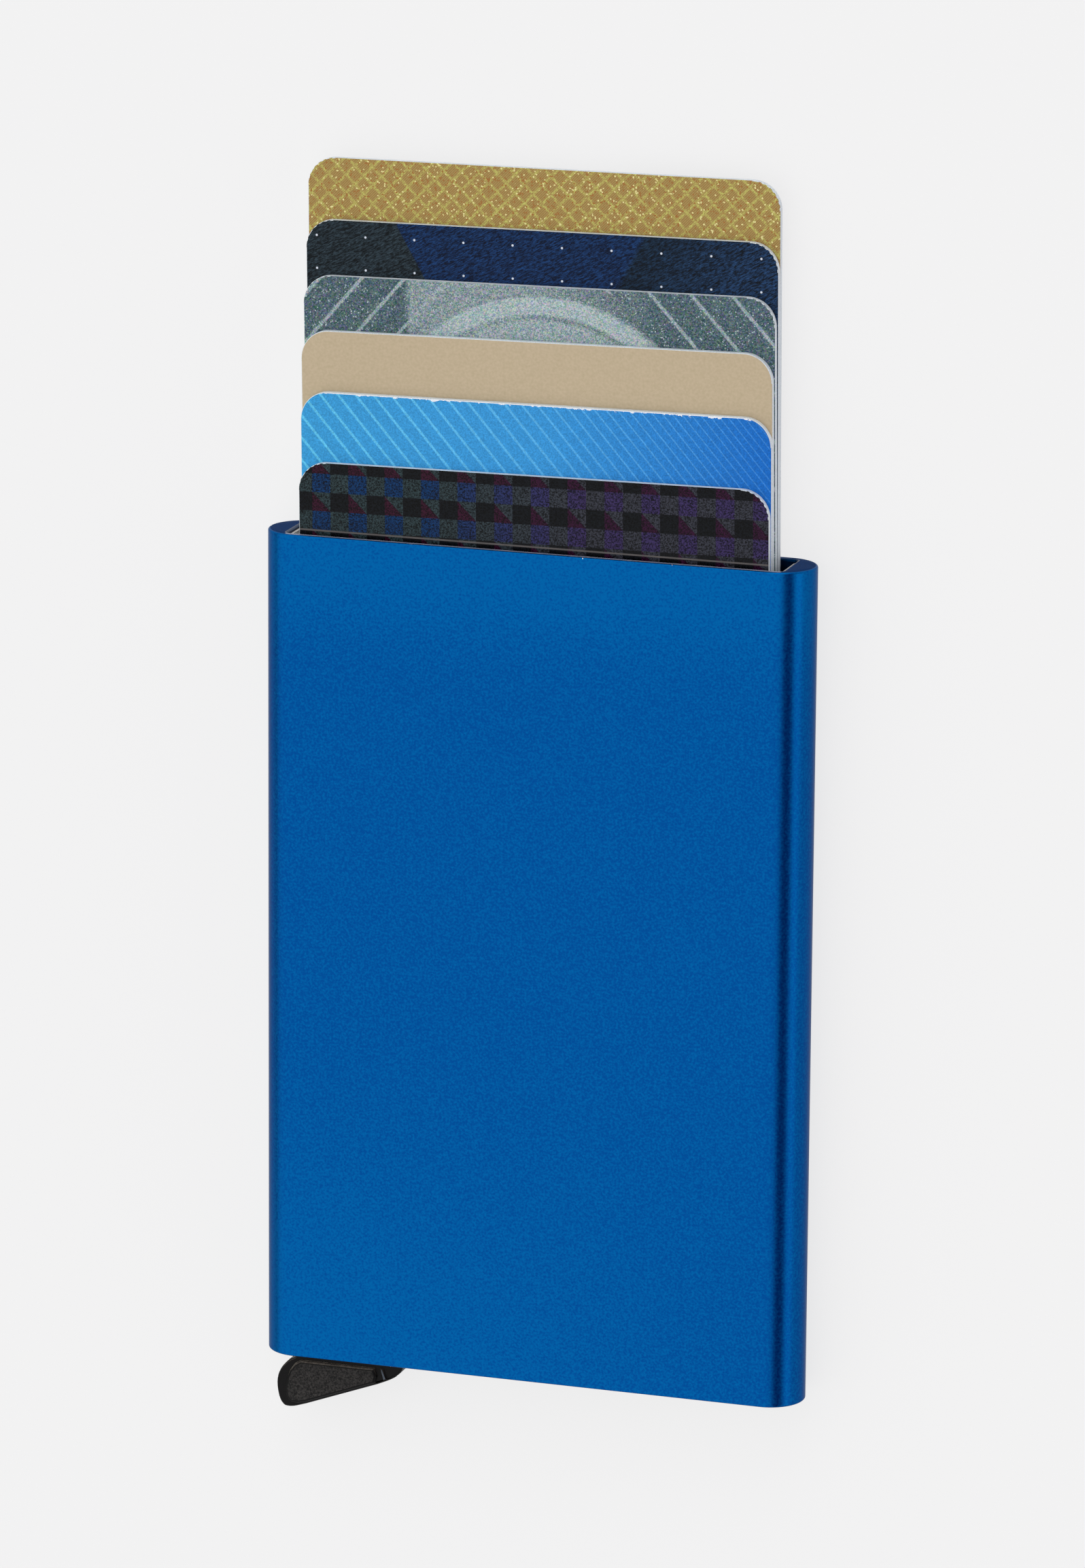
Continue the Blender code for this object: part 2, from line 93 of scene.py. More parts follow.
def feed(made, inputs):
    """Sets a node's inputs: links a node or a socket, turns an sRGB hex value to linear, copies a number.

    Inputs 6 and 7 of a colour mix are its two colours.
    """
    for key, value in dict(inputs).items():
        if isinstance(value, str) and value.startswith("#"):
            value = linear(value)
        if isinstance(value, bpy.types.Node):
            value = next(socket for socket in value.outputs if socket.enabled)
        if isinstance(value, bpy.types.NodeSocket):
            made.id_data.links.new(value, made.inputs[key])
        else:
            made.inputs[key].default_value = value


def node(tree, kind, inputs=(), **settings):
    """Adds a node with its settings and feeds its inputs."""
    made = tree.nodes.new(kind)
    for key, value in settings.items():
        setattr(made, key, value)
    feed(made, inputs)
    return made


def finish(name):
    """Starts a material; returns it, its tree, its shader and its Object coordinates in metres."""
    made = bpy.data.materials.new(name)
    made.use_nodes = True
    tree = made.node_tree
    place = node(tree, "ShaderNodeTexCoord").outputs["Object"]
    return made, tree, tree.nodes["Principled BSDF"], place


def outline_arc(x, z, radius, start, stop, steps):
    """Points of an arc, angles in degrees, both ends included."""
    angles = [math.radians(start + (stop - start) * k / steps) for k in range(steps + 1)]
    return [(x + radius * math.cos(a), z + radius * math.sin(a)) for a in angles]


def side_outline(inset):
    """The tube's outside seen from its end: two flats and two half rounds."""
    middle, flat = (case_low.z + case_high.z) / 2, case_high.x - case_radius
    points = outline_arc(flat, middle, case_radius - inset, -90, 90, side_steps)
    return points + outline_arc(-flat, middle, case_radius - inset, 90, 270, side_steps)


def pocket_outline(grow):
    """The pocket seen from its end, with small round corners."""
    x = case_high.x - side_wall - pocket_corner
    low, high = case_low.z + face_wall + pocket_corner, case_high.z - face_wall - pocket_corner
    points = []
    for across, up, start in ((x, low, -90), (x, high, 0), (-x, high, 90), (-x, low, 180)):
        points += outline_arc(across, up, pocket_corner + grow, start, start + 90, pocket_steps)
    return points


def rounded_ends(outline, radius):
    """Rings of a long shape along Y, its two end edges rounded by radius."""
    turns = [math.pi / 2 * k / edge_steps for k in range(edge_steps + 1)]
    steps = [(radius * (1 - math.sin(a)), radius * (1 - math.cos(a))) for a in turns]
    rings = [[(x, case_low.y + along, z) for x, z in outline(back)] for back, along in steps]
    rings += [[(x, case_high.y - along, z) for x, z in outline(back)] for back, along in reversed(steps)]
    return rings


def skin(bm, rings):
    """Joins rings of points into a tube and returns its first and last loop of vertices."""
    loops = [[bm.verts.new(point) for point in ring] for ring in rings]
    for first, second in zip(loops, loops[1:]):
        for k in range(len(first)):
            j = (k + 1) % len(first)
            bm.faces.new((first[k], first[j], second[j], second[k]))
    return loops[0], loops[-1]


def finished(name, bm, *looks, modifiers=()):
    """Makes a smooth mesh object with its flats kept true, and applies the modifiers asked for."""
    bmesh.ops.recalc_face_normals(bm, faces=bm.faces)
    mesh = bpy.data.meshes.new(name)
    bm.to_mesh(mesh)
    bm.free()
    made = bpy.data.objects.new(name, mesh)
    bpy.context.scene.collection.objects.link(made)
    for look in looks:
        mesh.materials.append(look)
    mesh.shade_smooth()
    for kind, settings in (*modifiers, ("WEIGHTED_NORMAL", {"keep_sharp": True})):
        step = made.modifiers.new(kind.lower(), kind)
        for key, value in settings.items():
            setattr(step, key, value)
    solid = bpy.data.meshes.new_from_object(made.evaluated_get(bpy.context.evaluated_depsgraph_get()))
    made.modifiers.clear()
    made.data = solid
    solid.name = name
    bpy.data.meshes.remove(mesh)
    return made


tube = bmesh.new()
outer_ends = skin(tube, rounded_ends(side_outline, rim_round))
outer_count = len(tube.faces)
pocket_ends = skin(tube, rounded_ends(pocket_outline, mouth_round))
wall_count = len(tube.faces)
for outer, inner in zip(outer_ends, pocket_ends):
    border = []
    for loop in (outer, inner):
        border += [tube.edges.get((loop[k - 1], loop[k])) for k in range(len(loop))]
    bmesh.ops.triangle_fill(tube, use_beauty=True, edges=border)
for k, face in enumerate(tube.faces):
    middle = face.calc_center_median()
    if k >= outer_count:
        face.material_index = sawn_look if k >= wall_count else drawn_look
        # The faces of the mouth's front edge take the painted reflection
        in_front = middle.z > case_high.z - face_wall and abs(middle.x) < case_high.x - side_wall
        if in_front and middle.y > case_high.y - mouth_round:
            face.material_index = mouth_reflection_look

# Sealed anodic film over blasted metal: a deep satin blue with a soft broad highlight. The blasting
# leaves pits of about 0.05 mm, drawn 0.26 mm across so that they show. The blue is painted lighter near
# the rim and at the lower left corner, a painted highlight, and a few nicks in the edges show bare metal.
blast_pit = 0.26 * MM
dye_cloud = 9.0 * MM
rim_fade = 17.0 * MM
foot_fade = 42.0 * MM
dye_start, painted_light_by_ends, dye_by_pits, dye_by_cloud = -0.77, 0.38, 2.2, 0.1
nick_size = 0.8 * MM
nick_from = 0.72
nick_reach = 0.8 * rim_round
blue_metal, tree, shader, place = finish("blue_anodised_aluminium")
pits = node(tree, "ShaderNodeTexNoise", {"Vector": place, "Scale": 1 / blast_pit, "Detail": 1.0})
cloud = node(tree, "ShaderNodeTexNoise", {"Vector": place, "Scale": 1 / dye_cloud, "Detail": 2.0})
axes = node(tree, "ShaderNodeSeparateXYZ", {"Vector": place}).outputs
# Painted highlight: the blue is lifted near the rim and towards the lower left corner
painted_light_rim = node(tree, "ShaderNodeMapRange",
           {"Value": axes["Y"], "From Min": case_high.y - rim_fade, "From Max": case_high.y},
           interpolation_type="SMOOTHERSTEP")
painted_light_foot = node(tree, "ShaderNodeMapRange",
            {"Value": axes["Y"], "From Min": case_low.y + foot_fade, "From Max": case_low.y},
            interpolation_type="SMOOTHSTEP")
left = node(tree, "ShaderNodeMapRange",
            {"Value": axes["X"], "From Min": case_high.x, "From Max": case_low.x})
painted_light_foot = node(tree, "ShaderNodeMath", {0: painted_light_foot, 1: left}, operation="MULTIPLY")
tone_and_painted_light = node(tree, "ShaderNodeMath", {0: painted_light_rim, 1: painted_light_foot}, operation="ADD")
tone_and_painted_light = node(tree, "ShaderNodeMath", {0: tone_and_painted_light, 1: painted_light_by_ends, 2: dye_start}, operation="MULTIPLY_ADD")
tone_and_painted_light = node(tree, "ShaderNodeMath", {0: pits, 1: dye_by_pits, 2: tone_and_painted_light}, operation="MULTIPLY_ADD")
tone_and_painted_light = node(tree, "ShaderNodeMath", {0: cloud, 1: dye_by_cloud, 2: tone_and_painted_light}, operation="MULTIPLY_ADD")
blue = node(tree, "ShaderNodeValToRGB", {"Fac": tone_and_painted_light})
blue.color_ramp.elements[0].position = 0.1
blue.color_ramp.elements[0].color = linear("#03468B")
blue.color_ramp.elements[1].position = 0.9
blue.color_ramp.elements[1].color = linear("#035A9B")
from_middle = node(tree, "ShaderNodeMath", {0: axes["Y"]}, operation="ABSOLUTE")
at_edge = node(tree, "ShaderNodeMath", {0: from_middle, 1: case_high.y - nick_reach},
               operation="GREATER_THAN")
nick = node(tree, "ShaderNodeTexNoise", {"Vector": place, "Scale": 1 / nick_size, "Detail": 3.0})
nick = node(tree, "ShaderNodeMath", {0: nick, 1: nick_from}, operation="GREATER_THAN")
nick = node(tree, "ShaderNodeMath", {0: nick, 1: at_edge}, operation="MULTIPLY")
worn = node(tree, "ShaderNodeMix", {"Factor": nick, 6: blue, 7: "#D2D6DA"}, data_type="RGBA")
satin = node(tree, "ShaderNodeMapRange",
             {"Value": pits, "From Min": 0.3, "From Max": 0.7, "To Min": 0.28, "To Max": 0.34})
dents = node(tree, "ShaderNodeBump", {"Height": pits, "Strength": 0.08, "Distance": 0.02 * MM})
feed(shader, {"Base Color": worn, "Roughness": satin, "Normal": dents, "Metallic": 1.0,
              "Specular Tint": "#CACBCE"})

# The sawn end faces were blasted with the rest but stay coarser, with a visible grain, and their blue is
# painted a darker navy, painted shade on the ends
saw_grain = 0.22 * MM
sawn_end, tree, shader, place = finish("sawn_anodised_end")
grain = node(tree, "ShaderNodeTexNoise",
             {"Vector": place, "Scale": 1 / saw_grain, "Detail": 3.0, "Roughness": 0.7})
painted_shade_navy = node(tree, "ShaderNodeValToRGB", {"Fac": grain})
painted_shade_navy.color_ramp.elements[0].position = 0.3
painted_shade_navy.color_ramp.elements[0].color = linear("#022A50")
painted_shade_navy.color_ramp.elements[1].position = 0.7
painted_shade_navy.color_ramp.elements[1].color = linear("#04437A")
pitted = node(tree, "ShaderNodeBump", {"Height": grain, "Strength": 0.5, "Distance": 0.03 * MM})
feed(shader, {"Base Color": painted_shade_navy, "Normal": pitted, "Metallic": 1.0, "Roughness": 0.38,
              "Specular Tint": "#A7AEBF"})

# The inside was never blasted: it keeps the dull drawn surface of the extrusion, streaked along its
# length, and its blue is painted dark, painted shade inside the pocket
inside_streak = 0.4 * MM
streak_share = 0.05
drawn_inside, tree, shader, place = finish("drawn_anodised_inside")
streaks = node(tree, "ShaderNodeMapping", {"Vector": place, "Scale": (1.0, streak_share, 1.0)})
streaks = node(tree, "ShaderNodeTexNoise", {"Vector": streaks, "Scale": 1 / inside_streak, "Detail": 3.0})
streaked_painted_shade = node(tree, "ShaderNodeMix", {"Factor": streaks, 6: "#01213F", 7: "#022F58"}, data_type="RGBA")
feed(shader, {"Base Color": streaked_painted_shade, "Metallic": 1.0, "Roughness": 0.34})

# The front edge of the mouth is painted a pale grey, a painted reflection, broken up by noise
mouth_painted_reflection, tree, shader, place = finish("mouth_edge_painted_reflection")
painted_light_mask = node(tree, "ShaderNodeTexNoise", {"Vector": place, "Scale": 1 / nick_size, "Detail": 4.0})
pale = node(tree, "ShaderNodeMix", {"Factor": painted_light_mask, 6: "#56657E", 7: "#A5A6BC"}, data_type="RGBA")
feed(shader, {"Base Color": pale, "Metallic": 0.25, "Roughness": 0.5})

case_shell = finished("case_shell", tube, blue_metal, sawn_end, drawn_inside, mouth_painted_reflection)
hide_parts("case_tube")
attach(case_shell, "case")

# Lever
# One moulding in black glass filled nylon: a hub on the pin, a stepped arm that lifts the cards, and
# the finger tab outside, whose raised pad has a spark eroded grain; its edges that face the case and the
# ridge behind the pad carry a painted highlight.
pad_edge = 0.3 * MM
other_edge_share = 0.27
lever_edge_steps = 4
sharp_from = 30.0
facing_out = 0.99
pad_area = 6 * MM * MM
ridge_area = 1.2 * MM * MM
level_slack = 0.01 * MM
weld_reach = 0.001 * MM
flat_within = math.radians(0.5)
pad_look, highlight_edge_look, ridge_highlight_look = 1, 2, 3


def solid_copy(name):
    """A CAD node's mesh with its loose triangles joined and its flats made one face each."""
    bm = bmesh.new()
    bm.from_mesh(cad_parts[name].data)
    bmesh.ops.remove_doubles(bm, verts=bm.verts, dist=weld_reach)
    bmesh.ops.dissolve_limit(bm, angle_limit=flat_within, verts=bm.verts, edges=bm.edges)
    return bm


lever_solid = solid_copy("eject_lever")
pad_top = max(v.co.z for v in lever_solid.verts if v.co.y < case_low.y)
weights = lever_solid.edges.layers.float.new("bevel_weight_edge")
for edge in lever_solid.edges:
    outside = max(v.co.y for v in edge.verts) < case_low.y
    if outside and len(edge.link_faces) == 2 and math.degrees(edge.calc_face_angle()) > sharp_from:
        on_pad = min(v.co.z for v in edge.verts) > pad_top - level_slack
        tops = [face for face in edge.link_faces if face.normal.z > facing_out]
        faces_pad = any(face.calc_area() > pad_area for face in tops)
        edge[weights] = 1.0 if on_pad and faces_pad else other_edge_share
for face in lever_solid.faces:
    middle = face.calc_center_median()
    if face.normal.z > facing_out and middle.y < case_low.y:
        if middle.z > pad_top - level_slack:
            face.material_index = pad_look
        # The ridge's small top faces take the painted highlight
        elif face.calc_area() < ridge_area:
            face.material_index = ridge_highlight_look

# Moulded nylon: black, barely glossy, with faint cloudy flow marks
nylon_flow = 0.5 * MM
black_nylon, tree, shader, place = finish("black_moulded_nylon")
flow = node(tree, "ShaderNodeTexNoise",
            {"Vector": place, "Scale": 1 / nylon_flow, "Detail": 4.0, "Roughness": 0.7})
soot = node(tree, "ShaderNodeMix", {"Factor": flow, 6: "#080809", 7: "#121111"}, data_type="RGBA")
ripple = node(tree, "ShaderNodeBump", {"Height": flow, "Strength": 0.2, "Distance": 0.02 * MM})
feed(shader, {"Base Color": soot, "Normal": ripple, "Roughness": 0.42, "Specular IOR Level": 0.1})

# The pad's grain holds skin grease in its pits and is rubbed grey on its tops
nylon_grain = 0.19 * MM
grained_pad, tree, shader, place = finish("spark_eroded_nylon_pad")
grain = node(tree, "ShaderNodeTexNoise", {"Vector": place, "Scale": 1 / nylon_grain, "Detail": 2.0})
soot = node(tree, "ShaderNodeValToRGB", {"Fac": grain})
soot.color_ramp.elements[0].position = 0.35
soot.color_ramp.elements[0].color = linear("#080808")
soot.color_ramp.elements[1].position = 0.7
soot.color_ramp.elements[1].color = linear("#373533")
pebble = node(tree, "ShaderNodeBump", {"Height": grain, "Strength": 0.6, "Distance": 0.03 * MM})
feed(shader, {"Base Color": soot, "Normal": pebble, "Roughness": 0.6, "Specular IOR Level": 0.16})

# The edges that face the case carry a painted highlight of warm grey, broken up by noise, and the rest stay
# black
edge_painted_highlight, tree, shader, place = finish("nylon_edge_painted_highlight")
painted_light_mask = node(tree, "ShaderNodeTexNoise",
           {"Vector": place, "Scale": 1 / nylon_flow, "Detail": 4.0, "Roughness": 0.8})
facing = node(tree, "ShaderNodeSeparateXYZ",
              {"Vector": tree.nodes["Texture Coordinate"].outputs["Normal"]})
facing = node(tree, "ShaderNodeMapRange", {"Value": facing.outputs["Y"], "From Min": 0.25, "From Max": 0.6})
painted_light_mask = node(tree, "ShaderNodeMapRange",
           {"Value": painted_light_mask, "From Min": 0.3, "From Max": 0.6, "To Min": 0.25, "To Max": 0.85})
painted_light_mask = node(tree, "ShaderNodeMath", {0: painted_light_mask, 1: facing}, operation="MULTIPLY")
grey = node(tree, "ShaderNodeMix", {"Factor": painted_light_mask, 6: "#0B0B0B", 7: "#7A736A"}, data_type="RGBA")
feed(shader, {"Base Color": grey, "Roughness": 0.5, "Specular IOR Level": 0.1})

# The top of the narrow ridge behind the pad is painted a cold grey, a painted highlight
ridge_painted_highlight, tree, shader, place = finish("nylon_ridge_painted_highlight")
ridge_highlight_noise = node(tree, "ShaderNodeTexNoise", {"Vector": place, "Scale": 1 / nylon_flow, "Detail": 3.0})
grey = node(tree, "ShaderNodeMix", {"Factor": ridge_highlight_noise, 6: "#3A4148", 7: "#5E6770"}, data_type="RGBA")
feed(shader, {"Base Color": grey, "Roughness": 0.5, "Specular IOR Level": 0.1})

# The bevels take the edge material with its painted highlight
rounding = {"width": pad_edge, "segments": lever_edge_steps, "limit_method": "WEIGHT", "material": highlight_edge_look}
lever = finished("lever_moulding", lever_solid, black_nylon, grained_pad, edge_painted_highlight, ridge_painted_highlight,
                 modifiers=[("BEVEL", rounding)])
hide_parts("eject_lever")
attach(lever, "lever")

# Cards
# Six standard plastic cards of white PVC, printed on both faces and laminated under a clear film. They
# are punched out, so the white core shows all round the edge. Four are milled for a contact plate.
card_width = 53.98 * MM
card_length = 85.6 * MM
card_corner = 3.18 * MM
card_thickness = 0.76 * MM
card_corner_steps = 14
card_edge_round = 0.15 * MM
card_edge_steps = 3
back_round_share = 0.2
card_count = 6
turn_rounds = 8
plated_cards = (1, 2, 3, 6)
plate_rim = 0.1 * MM
plate_recess = 0.24 * MM
near_face, facing_share = 0.9, 0.9


def card_place(k):
    """Centre and turn of a card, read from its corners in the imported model."""
    low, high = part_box(f"card_{k}")
    reach = high.x - low.x
    turn = 0.0
    for _ in range(turn_rounds):
        flat = (card_width - 2 * card_corner) * math.cos(turn) + 2 * card_corner
        turn = math.asin(max(0.0, reach - flat) / (card_length - 2 * card_corner))
    return (low + high) / 2, turn


def plate_pocket(k, top):
    """A cutter for the shallow pocket milled round a card's contact plate."""
    low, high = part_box(f"card_{k}_chip")
    middle, wider = (low + high) / 2, 1 + 2 * plate_rim / (high.x - low.x)
    bm = solid_copy(f"card_{k}_chip")
    for vertex in bm.verts:
        x, y = middle.x + (vertex.co.x - middle.x) * wider, middle.y + (vertex.co.y - middle.y) * wider
        vertex.co = (x, y, top + card_thickness if vertex.co.z > middle.z else top - plate_recess)
    mesh = bpy.data.meshes.new("plate_pocket")
    bm.to_mesh(mesh)
    bm.free()
    cutter = bpy.data.objects.new("plate_pocket", mesh)
    bpy.context.scene.collection.objects.link(cutter)
    return cutter


fan = bpy.data.node_groups.new("card_blank", "GeometryNodeTree")
fan.is_modifier = True
for kind, labels in (("Float", ("Width", "Length", "Corner", "Thickness", "Turn", "Back share")),
                     ("Vector", ("Centre",)), ("Material", ("Front", "Core", "Back"))):
    for label in labels:
        fan.interface.new_socket(label, in_out="INPUT", socket_type="NodeSocket" + kind)
fan.interface.new_socket("Card", in_out="OUTPUT", socket_type="NodeSocketGeometry")
given = node(fan, "NodeGroupInput").outputs
blank = node(fan, "GeometryNodeCurvePrimitiveQuadrilateral",
             {"Width": given["Width"], "Height": given["Length"]})
blank = node(fan, "GeometryNodeFilletCurve",
             {"Curve": blank, "Count": card_corner_steps, "Radius": given["Corner"]}, mode="POLY")
sheet = node(fan, "GeometryNodeFillCurve", {"Curve": blank}, mode="NGONS")
pushed = node(fan, "GeometryNodeExtrudeMesh",
              {"Mesh": sheet, "Offset Scale": given["Thickness"], "Individual": False})
under = node(fan, "GeometryNodeFlipFaces", {"Mesh": sheet})
joined = node(fan, "GeometryNodeJoinGeometry")
for part in (under, pushed):
    feed(joined, {0: part})
welded = node(fan, "GeometryNodeMergeByDistance", {"Geometry": joined, "Distance": weld_reach})
half = node(fan, "ShaderNodeMath", {0: given["Thickness"], 1: -0.5}, operation="MULTIPLY")
height = node(fan, "ShaderNodeSeparateXYZ", {"Vector": node(fan, "GeometryNodeInputPosition")}).outputs["Z"]
height = node(fan, "ShaderNodeMath", {0: height, 1: given["Thickness"]}, operation="DIVIDE")
front_edge = node(fan, "ShaderNodeMath", {0: height, 1: near_face}, operation="GREATER_THAN")
back_edge = node(fan, "ShaderNodeMath", {0: height, 1: 1 - near_face}, operation="LESS_THAN")
weight = node(fan, "ShaderNodeMath", {0: back_edge, 1: given["Back share"], 2: front_edge},
              operation="MULTIPLY_ADD")
welded = node(fan, "GeometryNodeStoreNamedAttribute",
              {"Geometry": welded, "Name": "bevel_weight_edge", "Value": weight},
              data_type="FLOAT", domain="EDGE")
drop = node(fan, "ShaderNodeCombineXYZ", {"Z": half})
lift = node(fan, "ShaderNodeVectorMath", {0: given["Centre"], 1: drop}, operation="ADD")
twist = node(fan, "ShaderNodeCombineXYZ", {"Z": given["Turn"]})
placed = node(fan, "GeometryNodeTransform", {"Geometry": welded, "Translation": lift, "Rotation": twist})
looks = node(fan, "GeometryNodeRealizeInstances", {"Geometry": placed})
looks = node(fan, "GeometryNodeSetMaterial", {"Geometry": looks, "Material": given["Core"]})
facing = node(fan, "ShaderNodeSeparateXYZ", {"Vector": node(fan, "GeometryNodeInputNormal")}).outputs["Z"]
for label, share, test in (("Front", facing_share, "GREATER_THAN"), ("Back", -facing_share, "LESS_THAN")):
    faces = node(fan, "FunctionNodeCompare", {"A": facing, "B": share}, operation=test)
    looks = node(fan, "GeometryNodeSetMaterial",
                 {"Geometry": looks, "Selection": faces, "Material": given[label]})
node(fan, "NodeGroupOutput", {"Card": looks})

# The punched core is dull white PVC, faintly mottled where the punch tore it
punch_mark = 0.12 * MM
white_core, tree, shader, place = finish("white_pvc_core")
marks = node(tree, "ShaderNodeTexNoise", {"Vector": place, "Scale": 1 / punch_mark, "Detail": 2.0})
chalk = node(tree, "ShaderNodeValToRGB", {"Fac": marks})
chalk.color_ramp.elements[0].position = 0.3
chalk.color_ramp.elements[0].color = linear("#BFC8CD")
chalk.color_ramp.elements[1].position = 0.7
chalk.color_ramp.elements[1].color = linear("#E0E8EB")
feed(shader, {"Base Color": chalk, "Roughness": 0.5})


def card_print(name, rough):
    """Starts a card's print; returns its material, tree, shader and millimetres from the card's middle.

    All sizes of the prints below are in those millimetres.
    """
    made, tree, shader, _ = finish(name)
    local = node(tree, "ShaderNodeAttribute", attribute_name="card_mm").outputs["Vector"]
    axes = node(tree, "ShaderNodeSeparateXYZ", {"Vector": local}).outputs
    feed(shader, {"Roughness": rough, "Specular IOR Level": 0.1})
    return made, tree, shader, local, axes["X"], axes["Y"]


# The backs carry a dark magnetic stripe along one long edge on a pale grey print
stripe_from_edge, stripe_width = 4.0, 12.7
stripe_middle = card_width / MM / 2 - stripe_from_edge - stripe_width / 2
back_speck = 0.12
card_back, tree, shader, local, x, _ = card_print("card_back_print", 0.35)
away = node(tree, "ShaderNodeMath", {0: x, 1: stripe_middle}, operation="SUBTRACT")
away = node(tree, "ShaderNodeMath", {0: away}, operation="ABSOLUTE")
inside = node(tree, "ShaderNodeMath", {0: away, 1: stripe_width / 2}, operation="LESS_THAN")
speck = node(tree, "ShaderNodeTexNoise", {"Vector": local, "Scale": 1 / back_speck, "Detail": 2.0})
paper = node(tree, "ShaderNodeMix", {"Factor": speck, 6: "#C9CCD0", 7: "#DADCDE"}, data_type="RGBA")
stripe = node(tree, "ShaderNodeMix", {"Factor": inside, 6: paper, 7: "#1A1715"}, data_type="RGBA")
feed(shader, {"Base Color": stripe})

# Rear card, gold: a metallic ink with a flecked diamond lattice over a fine slanting hatch, and with
# scattered pale glints and brown flakes
lattice_pitch, hatch_half = 2.05, 0.14
gold_fleck, gold_patch, gold_flake = 0.17, 0.6, 0.16
glint_from, brown_from = 0.965, 0.93
gold_print, tree, shader, local, x, y = card_print("gold_ink_print", 0.4)
rise = node(tree, "ShaderNodeMath", {0: x, 1: y}, operation="ADD")
fall = node(tree, "ShaderNodeMath", {0: x, 1: y}, operation="SUBTRACT")
flecks = node(tree, "ShaderNodeTexNoise",
              {"Vector": local, "Scale": 1 / gold_fleck, "Detail": 2.0, "Roughness": 0.7})
patches = node(tree, "ShaderNodeTexNoise", {"Vector": local, "Scale": 1 / gold_patch, "Detail": 1.0})
lines = None
for slant in (rise, fall):
    off = node(tree, "ShaderNodeMath", {0: slant, 1: lattice_pitch / 2}, operation="PINGPONG")
    line = node(tree, "ShaderNodeMapRange",
                {"Value": off, "From Min": 0.1, "From Max": 0.34, "To Min": 1.0, "To Max": 0.0})
    lines = line if lines is None else node(tree, "ShaderNodeMath", {0: lines, 1: line}, operation="MAXIMUM")
broken = node(tree, "ShaderNodeMapRange",
              {"Value": patches, "From Min": 0.3, "From Max": 0.6, "To Min": 0.6, "To Max": 1.0})
dotted = node(tree, "ShaderNodeMapRange",
              {"Value": flecks, "From Min": 0.4, "From Max": 0.64, "To Min": 0.1, "To Max": 0.9})
lines = node(tree, "ShaderNodeMath", {0: lines, 1: dotted}, operation="MULTIPLY")
lines = node(tree, "ShaderNodeMath", {0: lines, 1: broken}, operation="MULTIPLY")
hatch = node(tree, "ShaderNodeMath", {0: fall, 1: hatch_half}, operation="PINGPONG")
hatch = node(tree, "ShaderNodeMapRange", {"Value": hatch, "From Min": 0.0, "From Max": hatch_half})
hatch = node(tree, "ShaderNodeMix", {"Factor": 0.5, "A": hatch, "B": flecks}, data_type="FLOAT")
ground = node(tree, "ShaderNodeMix", {"Factor": hatch, 6: "#7A5D2E", 7: "#B59B60"}, data_type="RGBA")
gold = node(tree, "ShaderNodeMix", {"Factor": lines, 6: ground, 7: "#C2C66A"}, data_type="RGBA")
flake = node(tree, "ShaderNodeTexVoronoi", {"Vector": local, "Scale": 1 / gold_flake})
picked = node(tree, "ShaderNodeSeparateColor", {"Color": flake.outputs["Color"]}).outputs
glint = node(tree, "ShaderNodeMath", {0: picked["Red"], 1: glint_from}, operation="GREATER_THAN")
brown = node(tree, "ShaderNodeMath", {0: picked["Green"], 1: brown_from}, operation="GREATER_THAN")
gold = node(tree, "ShaderNodeMix", {"Factor": glint, 6: gold, 7: "#DCD492"}, data_type="RGBA")
gold = node(tree, "ShaderNodeMix", {"Factor": brown, 6: gold, 7: "#9A6A38"}, data_type="RGBA")
feed(shader, {"Base Color": gold, "Metallic": 0.15})

# Second card, dark: a navy field between slate and midnight ones, with a twill grain and a grid of
# fine pale dots
dot_across, dot_along, dot_radius = 5.65, 3.66, 0.12
dots_right, dots_up = 3.14, -41.05
left_slope, left_edge = 0.56, (7.3, 7.45)
right_slope, right_edge, navy_run = -0.53, (-11.2, -10.4), (-9.0, 3.0)
twill_turn, twill_long, twill_wide = math.radians(27), 0.5, 0.13
night_print, tree, shader, local, x, y = card_print("navy_slate_print", 0.35)
strands = node(tree, "ShaderNodeMapping",
               {"Vector": local, "Rotation": (0.0, 0.0, twill_turn), "Scale": (twill_long, twill_wide, 1.0)},
               vector_type="TEXTURE")
weave = node(tree, "ShaderNodeTexNoise", {"Vector": strands, "Scale": 1.0, "Detail": 3.0, "Roughness": 0.75})
lean_in = node(tree, "ShaderNodeMath", {0: y, 1: left_slope, 2: x}, operation="MULTIPLY_ADD")
lean_out = node(tree, "ShaderNodeMath", {0: y, 1: right_slope, 2: x}, operation="MULTIPLY_ADD")
past_left, past_right, to_navy = [
    node(tree, "ShaderNodeMapRange", {"Value": lean, "From Min": start, "From Max": stop})
    for lean, (start, stop) in ((lean_in, left_edge), (lean_out, right_edge), (lean_out, navy_run))]
dark = node(tree, "ShaderNodeMix", {"Factor": past_left, 6: "#050C10", 7: "#010B22"}, data_type="RGBA")
light = node(tree, "ShaderNodeMix", {"Factor": past_left, 6: "#374852", 7: "#1B447A"}, data_type="RGBA")
night = node(tree, "ShaderNodeMix", {"Factor": to_navy, 6: "#1E3A56", 7: "#294E7C"}, data_type="RGBA")
dark = node(tree, "ShaderNodeMix", {"Factor": past_right, 6: dark, 7: "#020A14"}, data_type="RGBA")
light = node(tree, "ShaderNodeMix", {"Factor": past_right, 6: light, 7: night}, data_type="RGBA")
strand = node(tree, "ShaderNodeMapRange", {"Value": weave, "From Min": 0.42, "From Max": 0.72})
cloth = node(tree, "ShaderNodeMix", {"Factor": strand, 6: dark, 7: light}, data_type="RGBA")
row = node(tree, "ShaderNodeMath", {0: y, 1: dots_up % dot_along}, operation="ADD")
row = node(tree, "ShaderNodeMath", {0: row, 1: dot_along / 2}, operation="PINGPONG")
